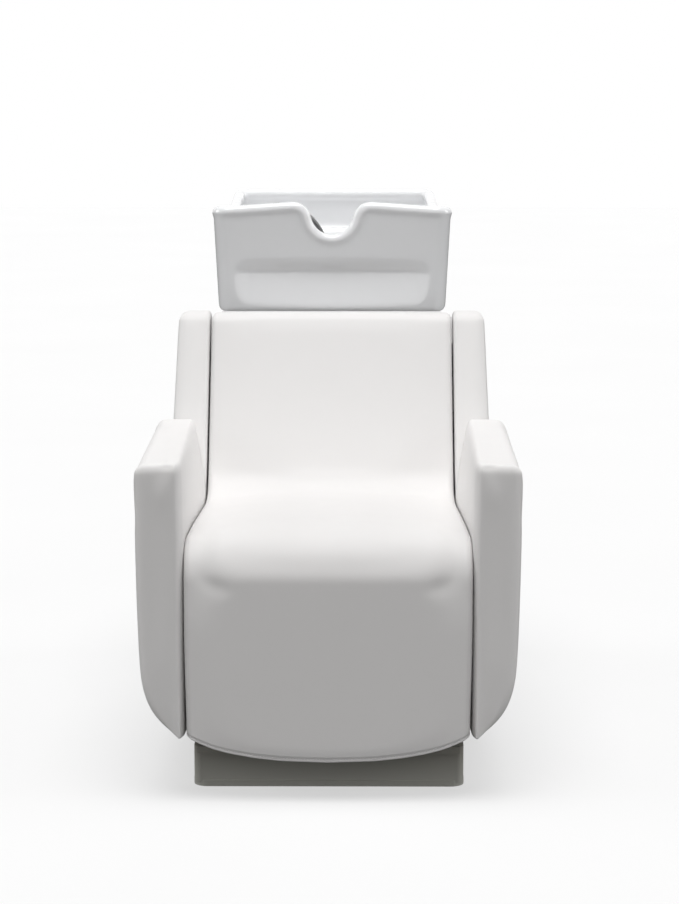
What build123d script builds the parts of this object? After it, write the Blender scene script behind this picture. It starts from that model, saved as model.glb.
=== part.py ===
"""A salon backwash unit: upholstered seat with arm slabs and wings, plumbing housing and tilting basin.

Millimetres, +Z up. The feet end faces -Y, the basin is at +Y, and X = 0 is the middle plane.
The origin is the middle of the footprint, on the floor.
"""
from build123d import *
import math
import os

# Overall sizes
overall_width = 680.0
overall_length = 1274.0
front_y = -overall_length / 2
rear_y = overall_length / 2
fit_gap = 0.3
overrun = 40.0
mesh_gap = 0.05

# Ribbon: apron, front roll, seat, bend and back in one upholstered piece
seat_depth = 452.0
seat_front_z = 495.0
seat_rear_z = 483.0
back_top_z = 804.0
back_lean = 30.0
roll_radius = 87.0
bend_radius = 90.0
pad_thickness = 46.0
apron_side_gap = 2.3
seat_side_gap = 4.1
back_side_gap = 2.8
apron_crown = 4.0
seat_crown = 14.0
back_crown = 10.0
pad_edge = 11.0
pad_tuck = 8.0
pad_bulge_share = 0.45
arc_steps = 6
round_steps = 3
top_chamfer = 9.0

# Underside line of apron and arms, seen from the front
hull_low_z = 73.0
hull_mid_inset = 75.7
hull_mid_z = 89.2
hull_side_inset = 35.7
hull_side_z = 101.5
hull_corner_z = 118.0

# Seat shell
shell_thickness = 12.0
shell_margin = 10.0
shell_lift = 12.0

# Arm slabs
arm_top_z = 612.0
arm_width = 70.5
arm_knee_z = 470.0
arm_knee_front_step = 2.6
arm_rear_step = 26.5
arm_low_front_step = 11.5
arm_low_z = 118.0
arm_sweep_inset = 29.0
arm_sweep_z = 160.0
arm_side_low_inset = 8.0
arm_side_low_z = 235.0
arm_side_mid_inset = 4.0
arm_side_mid_z = 345.0
arm_outer_radius = 20.0
arm_inner_radius = 10.0
arm_front_radius = 18.0
arm_front_side_share = 0.4
arm_rear_low_z = 458.0
arm_skin = 12.0
least_radius = 2.0
arm_joint_gap = 0.8
arm_core_gap = 0.5

# Arm core: mounting block, window in the cover and bolts
arm_block_reach = 11.0
arm_block_depth = 60.0
arm_block_front_share = 0.2212
arm_block_length_share = 0.6416
arm_block_low_z = 175.0
arm_block_high_z = 365.0
window_margin = 8.0
arm_bolt_radius = 5.0
arm_bolt_length = 45.0
arm_bolt_engagement = 25.0
arm_bolt_y_shares = (0.1, 0.9)
arm_bolt_z_shares = (0.2, 0.8)
bolt_head_radius = 8.5
bolt_head_height = 6.0

# Wings beside the back
wing_inner_step = 3.0
wing_outer_low_inset = 28.0
wing_outer_top_inset = 38.0
wing_setback = 7.0
wing_depth = 80.0
wing_top_radius = 14.0
wing_outer_radius = 24.0
wing_inner_radius = 10.0
wing_skin = 11.0
wing_block_width = 20.0
wing_block_height = 56.0
wing_bolt_radius = 4.0
wing_bolt_length = 40.0

# Base
foot_height = 8.0
foot_radius = 22.0
foot_inset = 34.0
plinth_side_inset = 95.0
plinth_top_z = 75.0
plinth_front_inset = 105.0
plinth_rear_inset = 110.0
plinth_wall = 18.0
plinth_corner = 12.0
plate_thickness = 6.0
anchor_radius = 6.0
anchor_side_inset = 65.0
anchor_end_inset = 149.5
plate_inset = 2.0
pipe_slot_half_width = 70.0
pipe_slot_length = 140.0

# Floor board and housing
board_thickness = 12.0
board_front_inset = 60.0
board_side_gap = 7.0
panel_side_inset = 55.0
panel_thickness = 12.0
panel_low_z = 78.0
housing_rear_inset = 92.0
panel_rear_gap = 1.0
top_thickness = 12.0
rear_frame_thickness = 12.0
door_side_margin = 87.0
door_low_z = 125.0
door_top_margin = 50.0
door_overlap = 14.0
door_thickness = 12.0
door_gap = 0.6
collar_side_inset = 70.0
collar_front_share = 0.0436
collar_rear_inset = 107.0
collar_drop = 32.0
collar_height = 35.0
collar_wall = 4.0
collar_foot = 9.0

# Chassis
tube_size = 40.0
tube_wall = 3.0
rail_side_gap = 47.0
rail_front_inset = 90.0
rail_rear_inset = 112.0
post_shares = (0.3319, 0.8186)
seat_rail_height = 24.0
back_rail_top_share = 0.72
back_post_z = 580.0
back_post_margin = 8.0
flange_thickness = 10.0
wing_bar_height = 40.0
wing_bar_thickness = 12.0
wing_bar_low_share = 0.4
wing_bar_high_share = 0.7
screw_radius = 3.0
screw_head_radius = 7.0
screw_head_height = 3.0
screw_bite = 9.0
screw_seat_shares = (0.1, 0.6)
screw_back_shares = (0.05, 0.5)
cross_inset = 20.0

# Basin column and tilt pivot
column_width = 90.0
column_depth = 60.0
column_wall = 4.0
bracket_height = 45.0
column_flange = 8.0
column_flange_margin = 24.0
column_bolt_x = 57.0
column_bolt_radius = 5.0
pivot_share = 0.17647
pivot_drop = 27.0
pivot_pin_radius = 8.0
pivot_fit = 0.05
ear_thickness = 8.0
ear_gap = 100.0
ear_radius = 17.0
bracket_base = 8.0
bush_wall = 3.0
bush_flange = 2.0
lug_thickness = 10.0
pin_head = 5.0
pin_head_radius = 12.0
lug_clearance = 0.5

# Cradle under the basin
cradle_thickness = 8.0
cradle_rise = 9.5
cradle_half_width = 112.0
cradle_front_share = 0.0873
cradle_rear_share = 0.241
cradle_hole_half_width = 66.0
cradle_hole_ahead = 104.0
cradle_hole_behind = 46.0
cradle_pad_height = 7.0
cradle_pad_radius = 20.0
cradle_bolt_radius = 4.0
cradle_bolt_grip = 16.0

# Basin
basin_gap = 106.67
basin_rear_wall_inset = 3.0
basin_front_side_inset = 99.0
basin_rear_side_inset = 123.0
basin_draft = 11.0
basin_height = 209.0
basin_skirt_rise = 52.5
basin_skirt_front = 60.0
basin_corner = 26.0
rim_radius = 12.5
rim_overhang = 3.0
rim_tip_drop = 10.5
rim_shoulder_z = 1006.5
rim_rear_drop = 5.2
rim_side_drop = 53.5
rim_saddle_front = 130.0
rim_saddle_rear = 300.0
rim_crest_drop = 2.0
rim_corner_small = 16.0
tangent_rounds = 8
rim_saddle_run = 270.0
notch_radius = 55.0
notch_drop = 10.5
notch_angle = 80.0
rim_corner = 22.0
rim_bend = 20.0
rim_corner_run = 44.0
front_wall = 20.0
side_wall = 15.0
deck_drop = 76.5
deck_thickness = 12.0
bowl_side_margin = 71.0
bowl_front_share = 0.0569
bowl_rear_share = 0.1594
bowl_low_half_width = 84.0
bowl_low_front_share = 0.2239
bowl_low_rear_share = 0.2846
bowl_floor_rise = 50.5
bowl_mid_rise = 24.0
bowl_wall = 12.0
bowl_corner = 60.0
bowl_mid_share = 0.32
boss_radius = 24.0
boss_x = 78.0
boss_shares = (0.18216, 0.70398)
scoop_top_rise = 109.5
scoop_deep_rise = 82.5
scoop_low_rise = 3.0
scoop_depth = 14.0
scoop_end_share = 0.86
scoop_edge = 2.0
scoop_low_share = 0.9
scoop_bow_share = 0.6
scoop_shares = ((-1, 0), (-0.85, 0.6), (-0.45, 0.85), (0, 1), (0.45, 0.85), (0.85, 0.6), (1, 0))
apron_corner = 16.0

# Drain
drain_share = 0.56926
drain_radius = 22.0
drain_flange_radius = 32.0
drain_flange_height = 3.0
tail_radius = 17.0
tail_wall = 2.0
tail_length = 62.0
gasket_radius = 30.0
gasket_height = 3.0
nut_radius = 30.0
nut_height = 9.0
strainer_radius = 20.0
strainer_height = 6.0
strainer_hole_radius = 2.2
strainer_rings = 2
strainer_knob_radius = 4.0
strainer_knob_height = 9.0
strainer_pitch = 5.0
strainer_holes = 8
waste_hose_radius = 17.0
floor_spigot_radius = 20.0
floor_spigot_height = 130.0

# Mixer
mixer_side_inset = 40.0
mixer_share = 0.389
mixer_radius = 23.0
mixer_height = 26.0
mixer_shank_radius = 15.0
mixer_shank_length = 40.0
mixer_nut_radius = 18.5
mixer_nut_height = 8.0
cap_radius = 22.0
cap_height = 12.0
lever_width = 16.0
lever_thickness = 6.0
lever_pin_offset = 8.0
fork_thickness = 3.0
cap_chamfer = 2.0
lever_length = 78.0
lever_pin_radius = 1.5
lever_gap = 0.4

# Shower
hose_radius = 5.0
grommet_radius = 13.0
grommet_flange_radius = 17.0
grommet_height = 5.0
grommet_gap = 1.0
grommet_side_inset = 41.0
grommet_share = 0.2334
holder_side_inset = 40.0
holder_share = 0.408
holder_length = 46.0
holder_width = 32.0
holder_post_radius = 9.0
holder_post_height = 12.0
handle_radius = 11.0
handle_rise = 28.0
handle_tail_share = 0.5503
handle_head_share = 0.2467
head_radius = 26.0
head_height = 16.0
head_drop = 12.0
spray_thickness = 3.0
spray_hole_radius = 1.2
spray_rings = 2
spray_holes = 8
spray_pitch = 7.5
holder_foot = 4.0
hose_nut_radius = 8.0
hose_nut_length = 16.0
arc_share = 0.45

# Stop valves and supply hoses
valve_x = 50.0
valve_inset = 90.0
valve_z = 230.0
valve_radius = 13.0
valve_length = 54.0
stem_radius = 6.0
stem_length = 16.0
knob_radius = 19.0
knob_height = 16.0
valve_plate_thickness = 4.0
plate_margin = 6.0
waste_clear = 26.0
knob_lobes = 6
scallop_offset = 4.0
scallop_radius = 8.0
supply_radius = 6.0
supply_spread = 7.5
supply_setback = 4.0
shower_port_offset = 8.6
inlet_radius = 10.0

# Door hinges and catch
hinge_height = 60.0
hinge_low_share = 0.15
hinge_high_share = 0.85
knuckle_radius = 5.0
hinge_pin_radius = 2.5
leaf_thickness = 2.0
leaf_width = 22.0
knuckle_offset = 9.0
catch_width = 40.0
catch_height = 14.0
catch_depth = 12.0
strike_clear = 1.0
strike_thickness = 1.5
grip_width = 90.0
grip_height = 22.0
grip_inset = 30.0
grip_radius = 5.0

# Worked out from the values above: widths
half_width = overall_width / 2
arm_inner_top_x = half_width - arm_width
arm_knee_front_x = arm_inner_top_x - arm_knee_front_step
arm_low_front_x = arm_inner_top_x - arm_low_front_step
arm_rear_x = arm_inner_top_x - arm_rear_step
arm_sweep_x = half_width - arm_sweep_inset
arm_side_low_x = half_width - arm_side_low_inset
arm_side_mid_x = half_width - arm_side_mid_inset
arm_block_x = arm_rear_x - arm_block_reach
apron_half_width = arm_low_front_x - apron_side_gap
hull_mid_x = apron_half_width - hull_mid_inset
hull_side_x = apron_half_width - hull_side_inset
junction_half_width = arm_rear_x - seat_side_gap
wing_inner_x = arm_rear_x - wing_inner_step
wing_outer_low_x = half_width - wing_outer_low_inset
wing_outer_top_x = half_width - wing_outer_top_inset
top_half_width = wing_inner_x - back_side_gap
plinth_half_width = half_width - plinth_side_inset
board_front_half_width = arm_rear_x - board_side_gap
panel_outer_x = half_width - panel_side_inset
door_half_width = panel_outer_x - door_side_margin
collar_half_width = panel_outer_x - collar_side_inset
rail_x = arm_block_x - rail_side_gap
basin_front_half_width = half_width - basin_front_side_inset
basin_rear_half_width = half_width - basin_rear_side_inset
bowl_half_width = basin_rear_half_width - bowl_side_margin
mixer_x = mixer_side_inset - basin_rear_half_width
grommet_x = grommet_side_inset - basin_rear_half_width
holder_x = basin_rear_half_width - holder_side_inset

# Worked out: heights
rail_low_z = plinth_top_z + board_thickness
rail_high_z = rail_low_z + tube_size
rim_tip_z = rim_shoulder_z - rim_tip_drop
rim_rear_z = rim_shoulder_z - rim_rear_drop
rim_side_z = rim_shoulder_z - rim_side_drop
notch_centre_z = rim_shoulder_z - notch_drop
basin_low_z = rim_shoulder_z - basin_height
deck_z = rim_shoulder_z - deck_drop
handle_z = deck_z + handle_rise
bowl_low_z = basin_low_z + bowl_floor_rise
bowl_mid_z = bowl_low_z + bowl_mid_rise
scoop_top_z = basin_low_z + scoop_top_rise
scoop_deep_z = basin_low_z + scoop_deep_rise
scoop_low_z = basin_low_z + scoop_low_rise
cradle_z = basin_low_z + cradle_rise
pivot_z = cradle_z - pivot_drop
column_top_z = pivot_z - bracket_height
collar_top_z = cradle_z - collar_drop
housing_top_z = collar_top_z - collar_height
door_high_z = housing_top_z - door_top_margin

# Worked out: places along the unit
lean = math.radians(back_lean)
lean_run = math.tan(lean)
junction_y = front_y + seat_depth
back_top_y = junction_y + (back_top_z - seat_rear_z) * lean_run
wing_top_y = back_top_y + wing_setback
shell_offset = pad_thickness + fit_gap
rail_offset = shell_offset + shell_thickness
arm_rear_y = wing_top_y - (back_top_z - arm_rear_low_z) * lean_run
housing_rear_y = rear_y - housing_rear_inset
rail_front_y = front_y + rail_front_inset
rail_rear_y = rear_y - rail_rear_inset
basin_front_y = back_top_y + basin_gap
basin_rear_y = rear_y - basin_rear_wall_inset
basin_length = basin_rear_y - basin_front_y
pivot_y = basin_front_y + basin_length * pivot_share
drain_y = basin_front_y + basin_length * drain_share
mixer_y = basin_front_y + basin_length * mixer_share
holder_y = basin_front_y + basin_length * holder_share
handle_head_y = basin_front_y + basin_length * handle_head_share
handle_tail_y = basin_front_y + basin_length * handle_tail_share
grommet_y = basin_front_y + basin_length * grommet_share


def save(name, shape):
    """Write one named piece of the unit."""
    export_step(shape, "parts/" + name + ".step")


def block(x_low, x_high, y_low, y_high, z_low, z_high):
    """A box between two corners."""
    corner = (Align.MIN, Align.MIN, Align.MIN)
    return Pos(x_low, y_low, z_low) * Box(x_high - x_low, y_high - y_low, z_high - z_low, align=corner)


def rod(radius, start, end):
    """A round bar from one point to another."""
    first = Vector(*start)
    way = Vector(*end) - first
    upright = (Align.CENTER, Align.CENTER, Align.MIN)
    return Plane(origin=first, z_dir=way) * Cylinder(radius, way.length, align=upright)


def tube(outer, inner, start, end):
    """A round tube from one point to another."""
    return rod(outer, start, end) - rod(inner, start, end)


def side_prism(outline, x_low, x_high):
    """A plate whose outline is given as (y, z) points, from x_low to x_high."""
    face = Plane.YZ.offset(x_low) * make_face(Polyline(*outline, close=True))
    return extrude(face, amount=x_high - x_low)


def square_tube(x_low, x_high, y_low, y_high, z_low, z_high, along):
    """A square tube with open ends along the X, Y or Z axis."""
    solid = block(x_low, x_high, y_low, y_high, z_low, z_high)
    inset = {"x": (0, tube_wall, tube_wall), "y": (tube_wall, 0, tube_wall), "z": (tube_wall, tube_wall, 0)}
    dx, dy, dz = inset[along]
    return solid - block(x_low + dx, x_high - dx, y_low + dy, y_high - dy, z_low + dz, z_high - dz)


def between(low, high, share):
    """The value at a share of the way from low to high."""
    return low + (high - low) * share


def mirrored(shape):
    """The same piece on the other side of the middle plane."""
    return mirror(shape, Plane.YZ)


def group(pieces):
    """Separate solids that share one name."""
    solids = []
    for piece in pieces:
        solids.extend(piece.solids())
    return Compound(children=solids)


# Ribbon

def ribbon_corners():
    """Corners of the ribbon's outer middle line, from the apron's foot to past the back's top, as (y, z)."""
    over = overrun * lean_run
    top = (back_top_y + over, back_top_z + overrun)
    return [(front_y, 0), (front_y, seat_front_z), (junction_y, seat_rear_z), top]


def ribbon_stations():
    """Places along the ribbon as (y, z, heading, half width, crown)."""
    corners = ribbon_corners()
    seat_heading = math.atan2(seat_rear_z - seat_front_z, seat_depth)
    headings = [math.pi / 2, seat_heading, math.pi / 2 - lean]
    radii = [roll_radius, bend_radius]
    widths = [apron_half_width, apron_half_width, junction_half_width, top_half_width]
    crowns = [apron_crown, apron_crown, seat_crown, back_crown]
    stations = [(corners[0][0], corners[0][1], headings[0], widths[0], crowns[0])]
    for index in range(2):
        corner_y, corner_z = corners[index + 1]
        turn = headings[index + 1] - headings[index]
        reach = radii[index] * math.tan(abs(turn) / 2)
        side = math.copysign(1, turn)
        start_y = corner_y - reach * math.cos(headings[index])
        start_z = corner_z - reach * math.sin(headings[index])
        centre_y = start_y - side * radii[index] * math.sin(headings[index])
        centre_z = start_z + side * radii[index] * math.cos(headings[index])
        for step in range(arc_steps + 1):
            share = step / arc_steps
            heading = headings[index] + turn * share
            y = centre_y + side * radii[index] * math.sin(heading)
            z = centre_z - side * radii[index] * math.cos(heading)
            width = widths[index + 1]
            crown = between(crowns[index + 1], crowns[index + 2], share)
            stations.append((y, z, heading, width, crown))
    last_y, last_z = corners[3]
    stations.append((last_y, last_z, headings[2], widths[3], crowns[3]))
    return stations


def station_plane(station):
    """The plane across the ribbon: local x is X, local y goes into the padding."""
    y, z, heading = station[:3]
    way = (0, math.cos(heading), math.sin(heading))
    return Plane(origin=(0, y, z), x_dir=(1, 0, 0), z_dir=way)


def pad_section(station):
    """One cross-section of the padding: crowned top, rounded drawn-in sides and a flat back."""
    half, crown = station[3], station[4]
    edge = half - pad_edge
    low = half - pad_tuck
    mid = between(crown, pad_thickness, pad_bulge_share)
    top_arc = ThreePointArc((-edge, crown), (0, 0), (edge, crown))
    right = ThreePointArc((edge, crown), (half, mid), (low, pad_thickness))
    back = Line((low, pad_thickness), (-low, pad_thickness))
    left = ThreePointArc((-low, pad_thickness), (-half, mid), (-edge, crown))
    return Wire([station_plane(station) * edge_line for edge_line in (top_arc, right, back, left)])


def shell_section(station):
    """One cross-section of the moulded shell behind the padding."""
    half = station[3] - pad_tuck - shell_margin
    low = shell_offset
    high = shell_offset + shell_thickness
    corners = [(-half, low), (half, low), (half, high), (-half, high)]
    return Wire([edge for edge in (station_plane(station) * Polyline(*corners, close=True)).edges()])


def hull_cutter(lift):
    """Everything below the underside line of apron and arms, raised by lift."""
    half = apron_half_width
    deep = -overrun
    line = [
        Line((-half - overrun, deep), (half + overrun, deep)),
        Line((half + overrun, deep), (half + overrun, hull_corner_z + lift)),
        Line((half + overrun, hull_corner_z + lift), (half, hull_corner_z + lift)),
        ThreePointArc((half, hull_corner_z + lift), (hull_side_x, hull_side_z + lift),
                      (hull_mid_x, hull_mid_z + lift)),
        ThreePointArc((hull_mid_x, hull_mid_z + lift), (0, hull_low_z + lift),
                      (-hull_mid_x, hull_mid_z + lift)),
        ThreePointArc((-hull_mid_x, hull_mid_z + lift), (-hull_side_x, hull_side_z + lift),
                      (-half, hull_corner_z + lift)),
        Line((-half, hull_corner_z + lift), (-half - overrun, hull_corner_z + lift)),
        Line((-half - overrun, hull_corner_z + lift), (-half - overrun, deep)),
    ]
    plane = Plane(origin=(0, front_y - overrun, 0), x_dir=(1, 0, 0), z_dir=(0, -1, 0))
    face = plane * make_face(line)
    return extrude(face, amount=-(overrun + roll_radius + overrun))


def top_cutter(height):
    """Everything above the back's top, with a chamfer along its front edge."""
    half = half_width
    high = height + 2 * overrun
    face_y = back_top_y - overrun
    flat = block(-half, half, face_y, rear_y, height, high)
    slope_low = height - top_chamfer
    front = back_top_y - top_chamfer * lean_run
    corner = back_top_y + top_chamfer
    wedge = side_prism([(front - overrun, slope_low), (front, slope_low), (corner, height),
                        (corner, high), (front - overrun, high)], -half, half)
    return flat + wedge


def shell_screw_hole(place):
    """The hole of one shell screw."""
    return across_bolt(place, screw_radius + mesh_gap, 0, 0, seat_rail_height + screw_bite + mesh_gap)


def make_ribbon():
    """Seat pad and the shell that carries it."""
    stations = ribbon_stations()
    pad = Solid.make_loft([pad_section(station) for station in stations], True)
    pad = pad - hull_cutter(0) - top_cutter(back_top_z)
    save("seat_pad", pad)
    shell = Solid.make_loft([shell_section(station) for station in stations], True)
    shell = shell - hull_cutter(shell_lift) - top_cutter(back_top_z - fit_gap)
    for place in shell_screw_places():
        shell = shell - shell_screw_hole(place)
    save("seat_shell", shell)


def run_box(start, end, x_low, x_high, depth_low, depth_high, share_low, share_high):
    """A bar under a straight run of the ribbon, between two stations."""
    plane = station_plane(start)
    length = math.hypot(end[0] - start[0], end[1] - start[1])
    corner = (Align.MIN, Align.MIN, Align.MIN)
    bar = Box(x_high - x_low, depth_high - depth_low, length * (share_high - share_low), align=corner)
    return plane * Pos(x_low, depth_low, length * share_low) * bar


# Arm slabs

def arm_section(y, rear_share, skin, draw):
    """The right-hand slab's section at one place along it, drawn in by its skin and rounded front."""
    inset = skin + draw * arm_front_side_share
    half = half_width - inset
    top = arm_top_z - skin - draw
    outer = max(arm_outer_radius - inset, least_radius)
    inner = max(arm_inner_radius - inset, least_radius)
    bend = 1 - math.sqrt(0.5)
    knee = between(arm_knee_front_x, arm_rear_x, rear_share) + inset
    low = (between(arm_low_front_x, arm_rear_x, rear_share) + inset, arm_low_z + inset)
    sweep = (arm_sweep_x - inset * math.sqrt(0.5), arm_sweep_z + inset * math.sqrt(0.5))
    side_low = (arm_side_low_x - inset, arm_side_low_z)
    side_top = (half, top - outer)
    inner_x = arm_inner_top_x + inset
    lines = [
        ThreePointArc(low, sweep, side_low),
        ThreePointArc(side_low, (arm_side_mid_x - inset, arm_side_mid_z), side_top),
        ThreePointArc(side_top, (half - outer * bend, top - outer * bend), (half - outer, top)),
        Line((half - outer, top), (inner_x + inner, top)),
        ThreePointArc((inner_x + inner, top), (inner_x + inner * bend, top - inner * bend),
                      (inner_x, top - inner)),
        Line((inner_x, top - inner), (knee, arm_knee_z)),
        Line((knee, arm_knee_z), low),
    ]
    plane = Plane(origin=(0, y, 0), x_dir=(1, 0, 0), z_dir=(0, -1, 0))
    return Wire([plane * line for line in lines])


def arm_loft(skin):
    """The slab's body with a rounded front, long enough to be cut at the rear."""
    sections = []
    for step in range(round_steps + 1):
        angle = math.pi / 2 * step / round_steps
        draw = arm_front_radius * (1 - math.sin(angle))
        y = front_y + skin + arm_front_radius * (1 - math.cos(angle))
        sections.append(arm_section(y, 0, skin, draw))
    sections.append(arm_section(wing_top_y, 1, skin, 0))
    return Solid.make_loft(sections, True)


def arm_side_view(inset):
    """The slab's outline from the side: upright front, leaning rear end against the wing."""
    shift = (inset + arm_joint_gap) / math.cos(lean)
    rear = arm_rear_y - inset - arm_joint_gap
    top = arm_top_z + overrun
    top_y = wing_top_y - (back_top_z - top) * lean_run - shift
    knee_z = arm_rear_low_z
    return [(front_y - overrun, 0), (rear, 0), (rear, knee_z), (top_y, top), (front_y - overrun, top)]


def arm_block():
    """The core's mounting block, which comes through the window in the cover."""
    y_low = front_y + seat_depth * arm_block_front_share
    y_high = y_low + seat_depth * arm_block_length_share
    return arm_block_x, arm_block_x + arm_block_depth, y_low, y_high, arm_block_low_z, arm_block_high_z


def arm_bolt_places():
    """Where the bolts go through the chassis flange, as (y, z)."""
    _, _, y_low, y_high, z_low, z_high = arm_block()
    places = []
    for y_share in arm_bolt_y_shares:
        for z_share in arm_bolt_z_shares:
            places.append((between(y_low, y_high, y_share), between(z_low, z_high, z_share)))
    return places


def make_arms():
    """Covers and cores of the two arm slabs."""
    wide = half_width + overrun
    prism = side_prism(arm_side_view(0), 0, wide)
    hollow = arm_loft(arm_skin) & side_prism(arm_side_view(arm_skin), 0, wide)
    margin = window_margin
    x_low, x_high, y_low, y_high, z_low, z_high = arm_block()
    window = block(x_low, x_high - arm_skin, y_low - margin, y_high + margin,
                   z_low - margin, z_high + margin)
    cover = (arm_loft(0) & prism) - hollow - window
    inset = arm_skin + arm_core_gap
    core = arm_loft(inset) & side_prism(arm_side_view(inset), 0, wide)
    core = core + block(x_low, x_high, y_low, y_high, z_low, z_high)
    for y, z in arm_bolt_places():
        core = core - rod(arm_bolt_radius, (x_low, y, z), (x_low + arm_bolt_length, y, z))
    save("right_arm_cover", cover)
    save("left_arm_cover", mirrored(cover))
    save("right_arm_core", core)
    save("left_arm_core", mirrored(core))


# Wings

def wing_front_y(z):
    """Where the wing's leaning front face is at a height."""
    return wing_top_y - (back_top_z - z) * lean_run


def wing_section(z, inset):
    """The wing's level section at one height, drawn in all round by inset, for the right-hand side."""
    share = (z - arm_rear_low_z) / (back_top_z - arm_rear_low_z)
    left = wing_inner_x + inset
    right = between(wing_outer_low_x, wing_outer_top_x, share) - inset
    near = wing_front_y(z) + inset / math.cos(lean)
    far = wing_front_y(z) + wing_depth - inset / math.cos(lean)
    outer = max(wing_outer_radius - inset, least_radius)
    inner = max(wing_inner_radius - inset, least_radius)
    bend = 1 - math.sqrt(0.5)
    lines = [
        Line((left + inner, near), (right - outer, near)),
        ThreePointArc((right - outer, near), (right - outer * bend, near + outer * bend),
                      (right, near + outer)),
        Line((right, near + outer), (right, far)),
        Line((right, far), (left, far)),
        Line((left, far), (left, near + inner)),
        ThreePointArc((left, near + inner), (left + inner * bend, near + inner * bend),
                      (left + inner, near)),
    ]
    plane = Plane(origin=(0, 0, z), x_dir=(1, 0, 0), z_dir=(0, 0, 1))
    return Wire([plane * line for line in lines])


def wing_loft(inset):
    """The wing's body, upright ends level, with a rounded top."""
    sections = [wing_section(arm_rear_low_z + inset, inset)]
    for step in range(round_steps + 1):
        angle = math.pi / 2 * step / round_steps
        draw = wing_top_radius * (1 - math.cos(angle))
        z = back_top_z - inset - wing_top_radius * (1 - math.sin(angle))
        sections.append(wing_section(z, inset + draw))
    return Solid.make_loft(sections, True)


def wing_bar_places():
    """Heights of the bars behind the wing."""
    shares = (wing_bar_low_share, wing_bar_high_share)
    return [between(arm_rear_low_z, back_top_z, share) for share in shares]


def wing_block(z, grow):
    """A piece of the core that reaches the wing's rear face at a bar."""
    x_low = wing_inner_x + wing_skin
    half = wing_block_height / 2 + grow
    near = wing_front_y(z) + wing_depth / 2
    far = wing_front_y(z) + wing_depth
    rise = half * lean_run
    outline = [(near, z - half), (far - rise, z - half), (far + rise, z + half), (near, z + half)]
    return side_prism(outline, x_low - grow, x_low + wing_block_width + grow)


def make_wings():
    """Covers and cores of the two wings."""
    hollow = wing_loft(wing_skin)
    core = wing_loft(wing_skin + fit_gap)
    cover = wing_loft(0) - hollow
    for z in wing_bar_places():
        cover = cover - wing_block(z, fit_gap)
        core = core + wing_block(z, 0)
    for place in wing_bolt_places():
        core = core - across_bolt(place, wing_bolt_radius + mesh_gap, 0, 0, wing_bolt_length + mesh_gap)
    save("right_wing_cover", cover)
    save("left_wing_cover", mirrored(cover))
    save("right_wing_core", core)
    save("left_wing_core", mirrored(core))


# Base

def make_base():
    """Feet, anchored base plate, plinth and floor board."""
    near = front_y + plinth_front_inset
    far = rear_y - plinth_rear_inset
    half = plinth_half_width
    middle = (near + far) / 2
    feet = []
    for x in (-half + foot_inset, half - foot_inset):
        for y in (near + foot_inset, middle, far - foot_inset):
            feet.append(rod(foot_radius, (x, y, 0), (x, y, foot_height)))
    save("floor_pads", group(feet))
    outer = block(-half, half, near, far, foot_height, plinth_top_z)
    outer = fillet(outer.edges().filter_by(Axis.Z), plinth_corner)
    inner = block(-half + plinth_wall, half - plinth_wall, near + plinth_wall, far - plinth_wall,
                  foot_height, plinth_top_z)
    rebate = block(-half + plate_inset, half - plate_inset, near + plate_inset, far - plate_inset,
                   foot_height, foot_height + plate_thickness)
    rebate = fillet(rebate.edges().filter_by(Axis.Z), plinth_corner)
    save("plinth", outer - inner - rebate)
    slot_y = drain_y - pipe_slot_length / 2
    slot = block(-pipe_slot_half_width, pipe_slot_half_width, slot_y, slot_y + pipe_slot_length,
                 0, rail_high_z)
    plate = rebate - slot
    for x in (-half + anchor_side_inset, half - anchor_side_inset):
        for y in (near + anchor_end_inset, far - anchor_end_inset):
            plate = plate - rod(anchor_radius, (x, y, 0), (x, y, plinth_top_z))
    save("base_plate", plate)
    board_front = front_y + board_front_inset
    front_half = board_front_half_width
    rear_half = panel_outer_x - panel_thickness
    step_y = arm_rear_y
    top_z = plinth_top_z + board_thickness
    front = block(-front_half, front_half, board_front, step_y + overrun, plinth_top_z, top_z)
    rear = block(-rear_half, rear_half, step_y, housing_rear_y - rear_frame_thickness, plinth_top_z, top_z)
    save("floor_board", front + rear - slot)


# Chassis

def bar_shares(start, end, z):
    """Where a wing bar starts and ends along the back's straight run."""
    middle = (z - start[1]) / (end[1] - start[1])
    length = math.hypot(end[0] - start[0], end[1] - start[1])
    half = wing_bar_height / 2 / length
    return middle - half, middle + half


def wing_rear_depth():
    """How far the wing's rear face lies behind the ribbon's middle line."""
    return (wing_setback + wing_depth) * math.cos(lean)


def across_bolt(place, radius, head_radius, head_height, length):
    """A bolt whose head sits at a place behind the ribbon and whose shank points at the padding."""
    station, x, depth, along = place
    seat = station_plane(station) * Pos(x, depth, along) * Rot(90, 0, 0)
    shank = seat * Cylinder(radius, length, align=(Align.CENTER, Align.CENTER, Align.MIN))
    if head_height == 0:
        return shank
    return shank + seat * Cylinder(head_radius, head_height, align=(Align.CENTER, Align.CENTER, Align.MAX))


def straight_run(first_index):
    """One straight run of the ribbon: its two stations and its length."""
    stations = ribbon_stations()
    start, end = stations[first_index], stations[first_index + 1]
    return start, end, math.hypot(end[0] - start[0], end[1] - start[1])


def wing_bolt_places():
    """Seats of the bolts that hold the wings, on the rear of their bars."""
    start, end, length = straight_run(2 * arc_steps + 2)
    bar_depth = wing_rear_depth() + fit_gap
    x = wing_inner_x + wing_skin + wing_block_width / 2
    places = []
    for z in wing_bar_places():
        low, high = bar_shares(start, end, z + bar_depth * math.sin(lean))
        for side in (-1, 1):
            places.append((start, side * x, bar_depth + wing_bar_thickness, length * (low + high) / 2))
    return places


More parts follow.
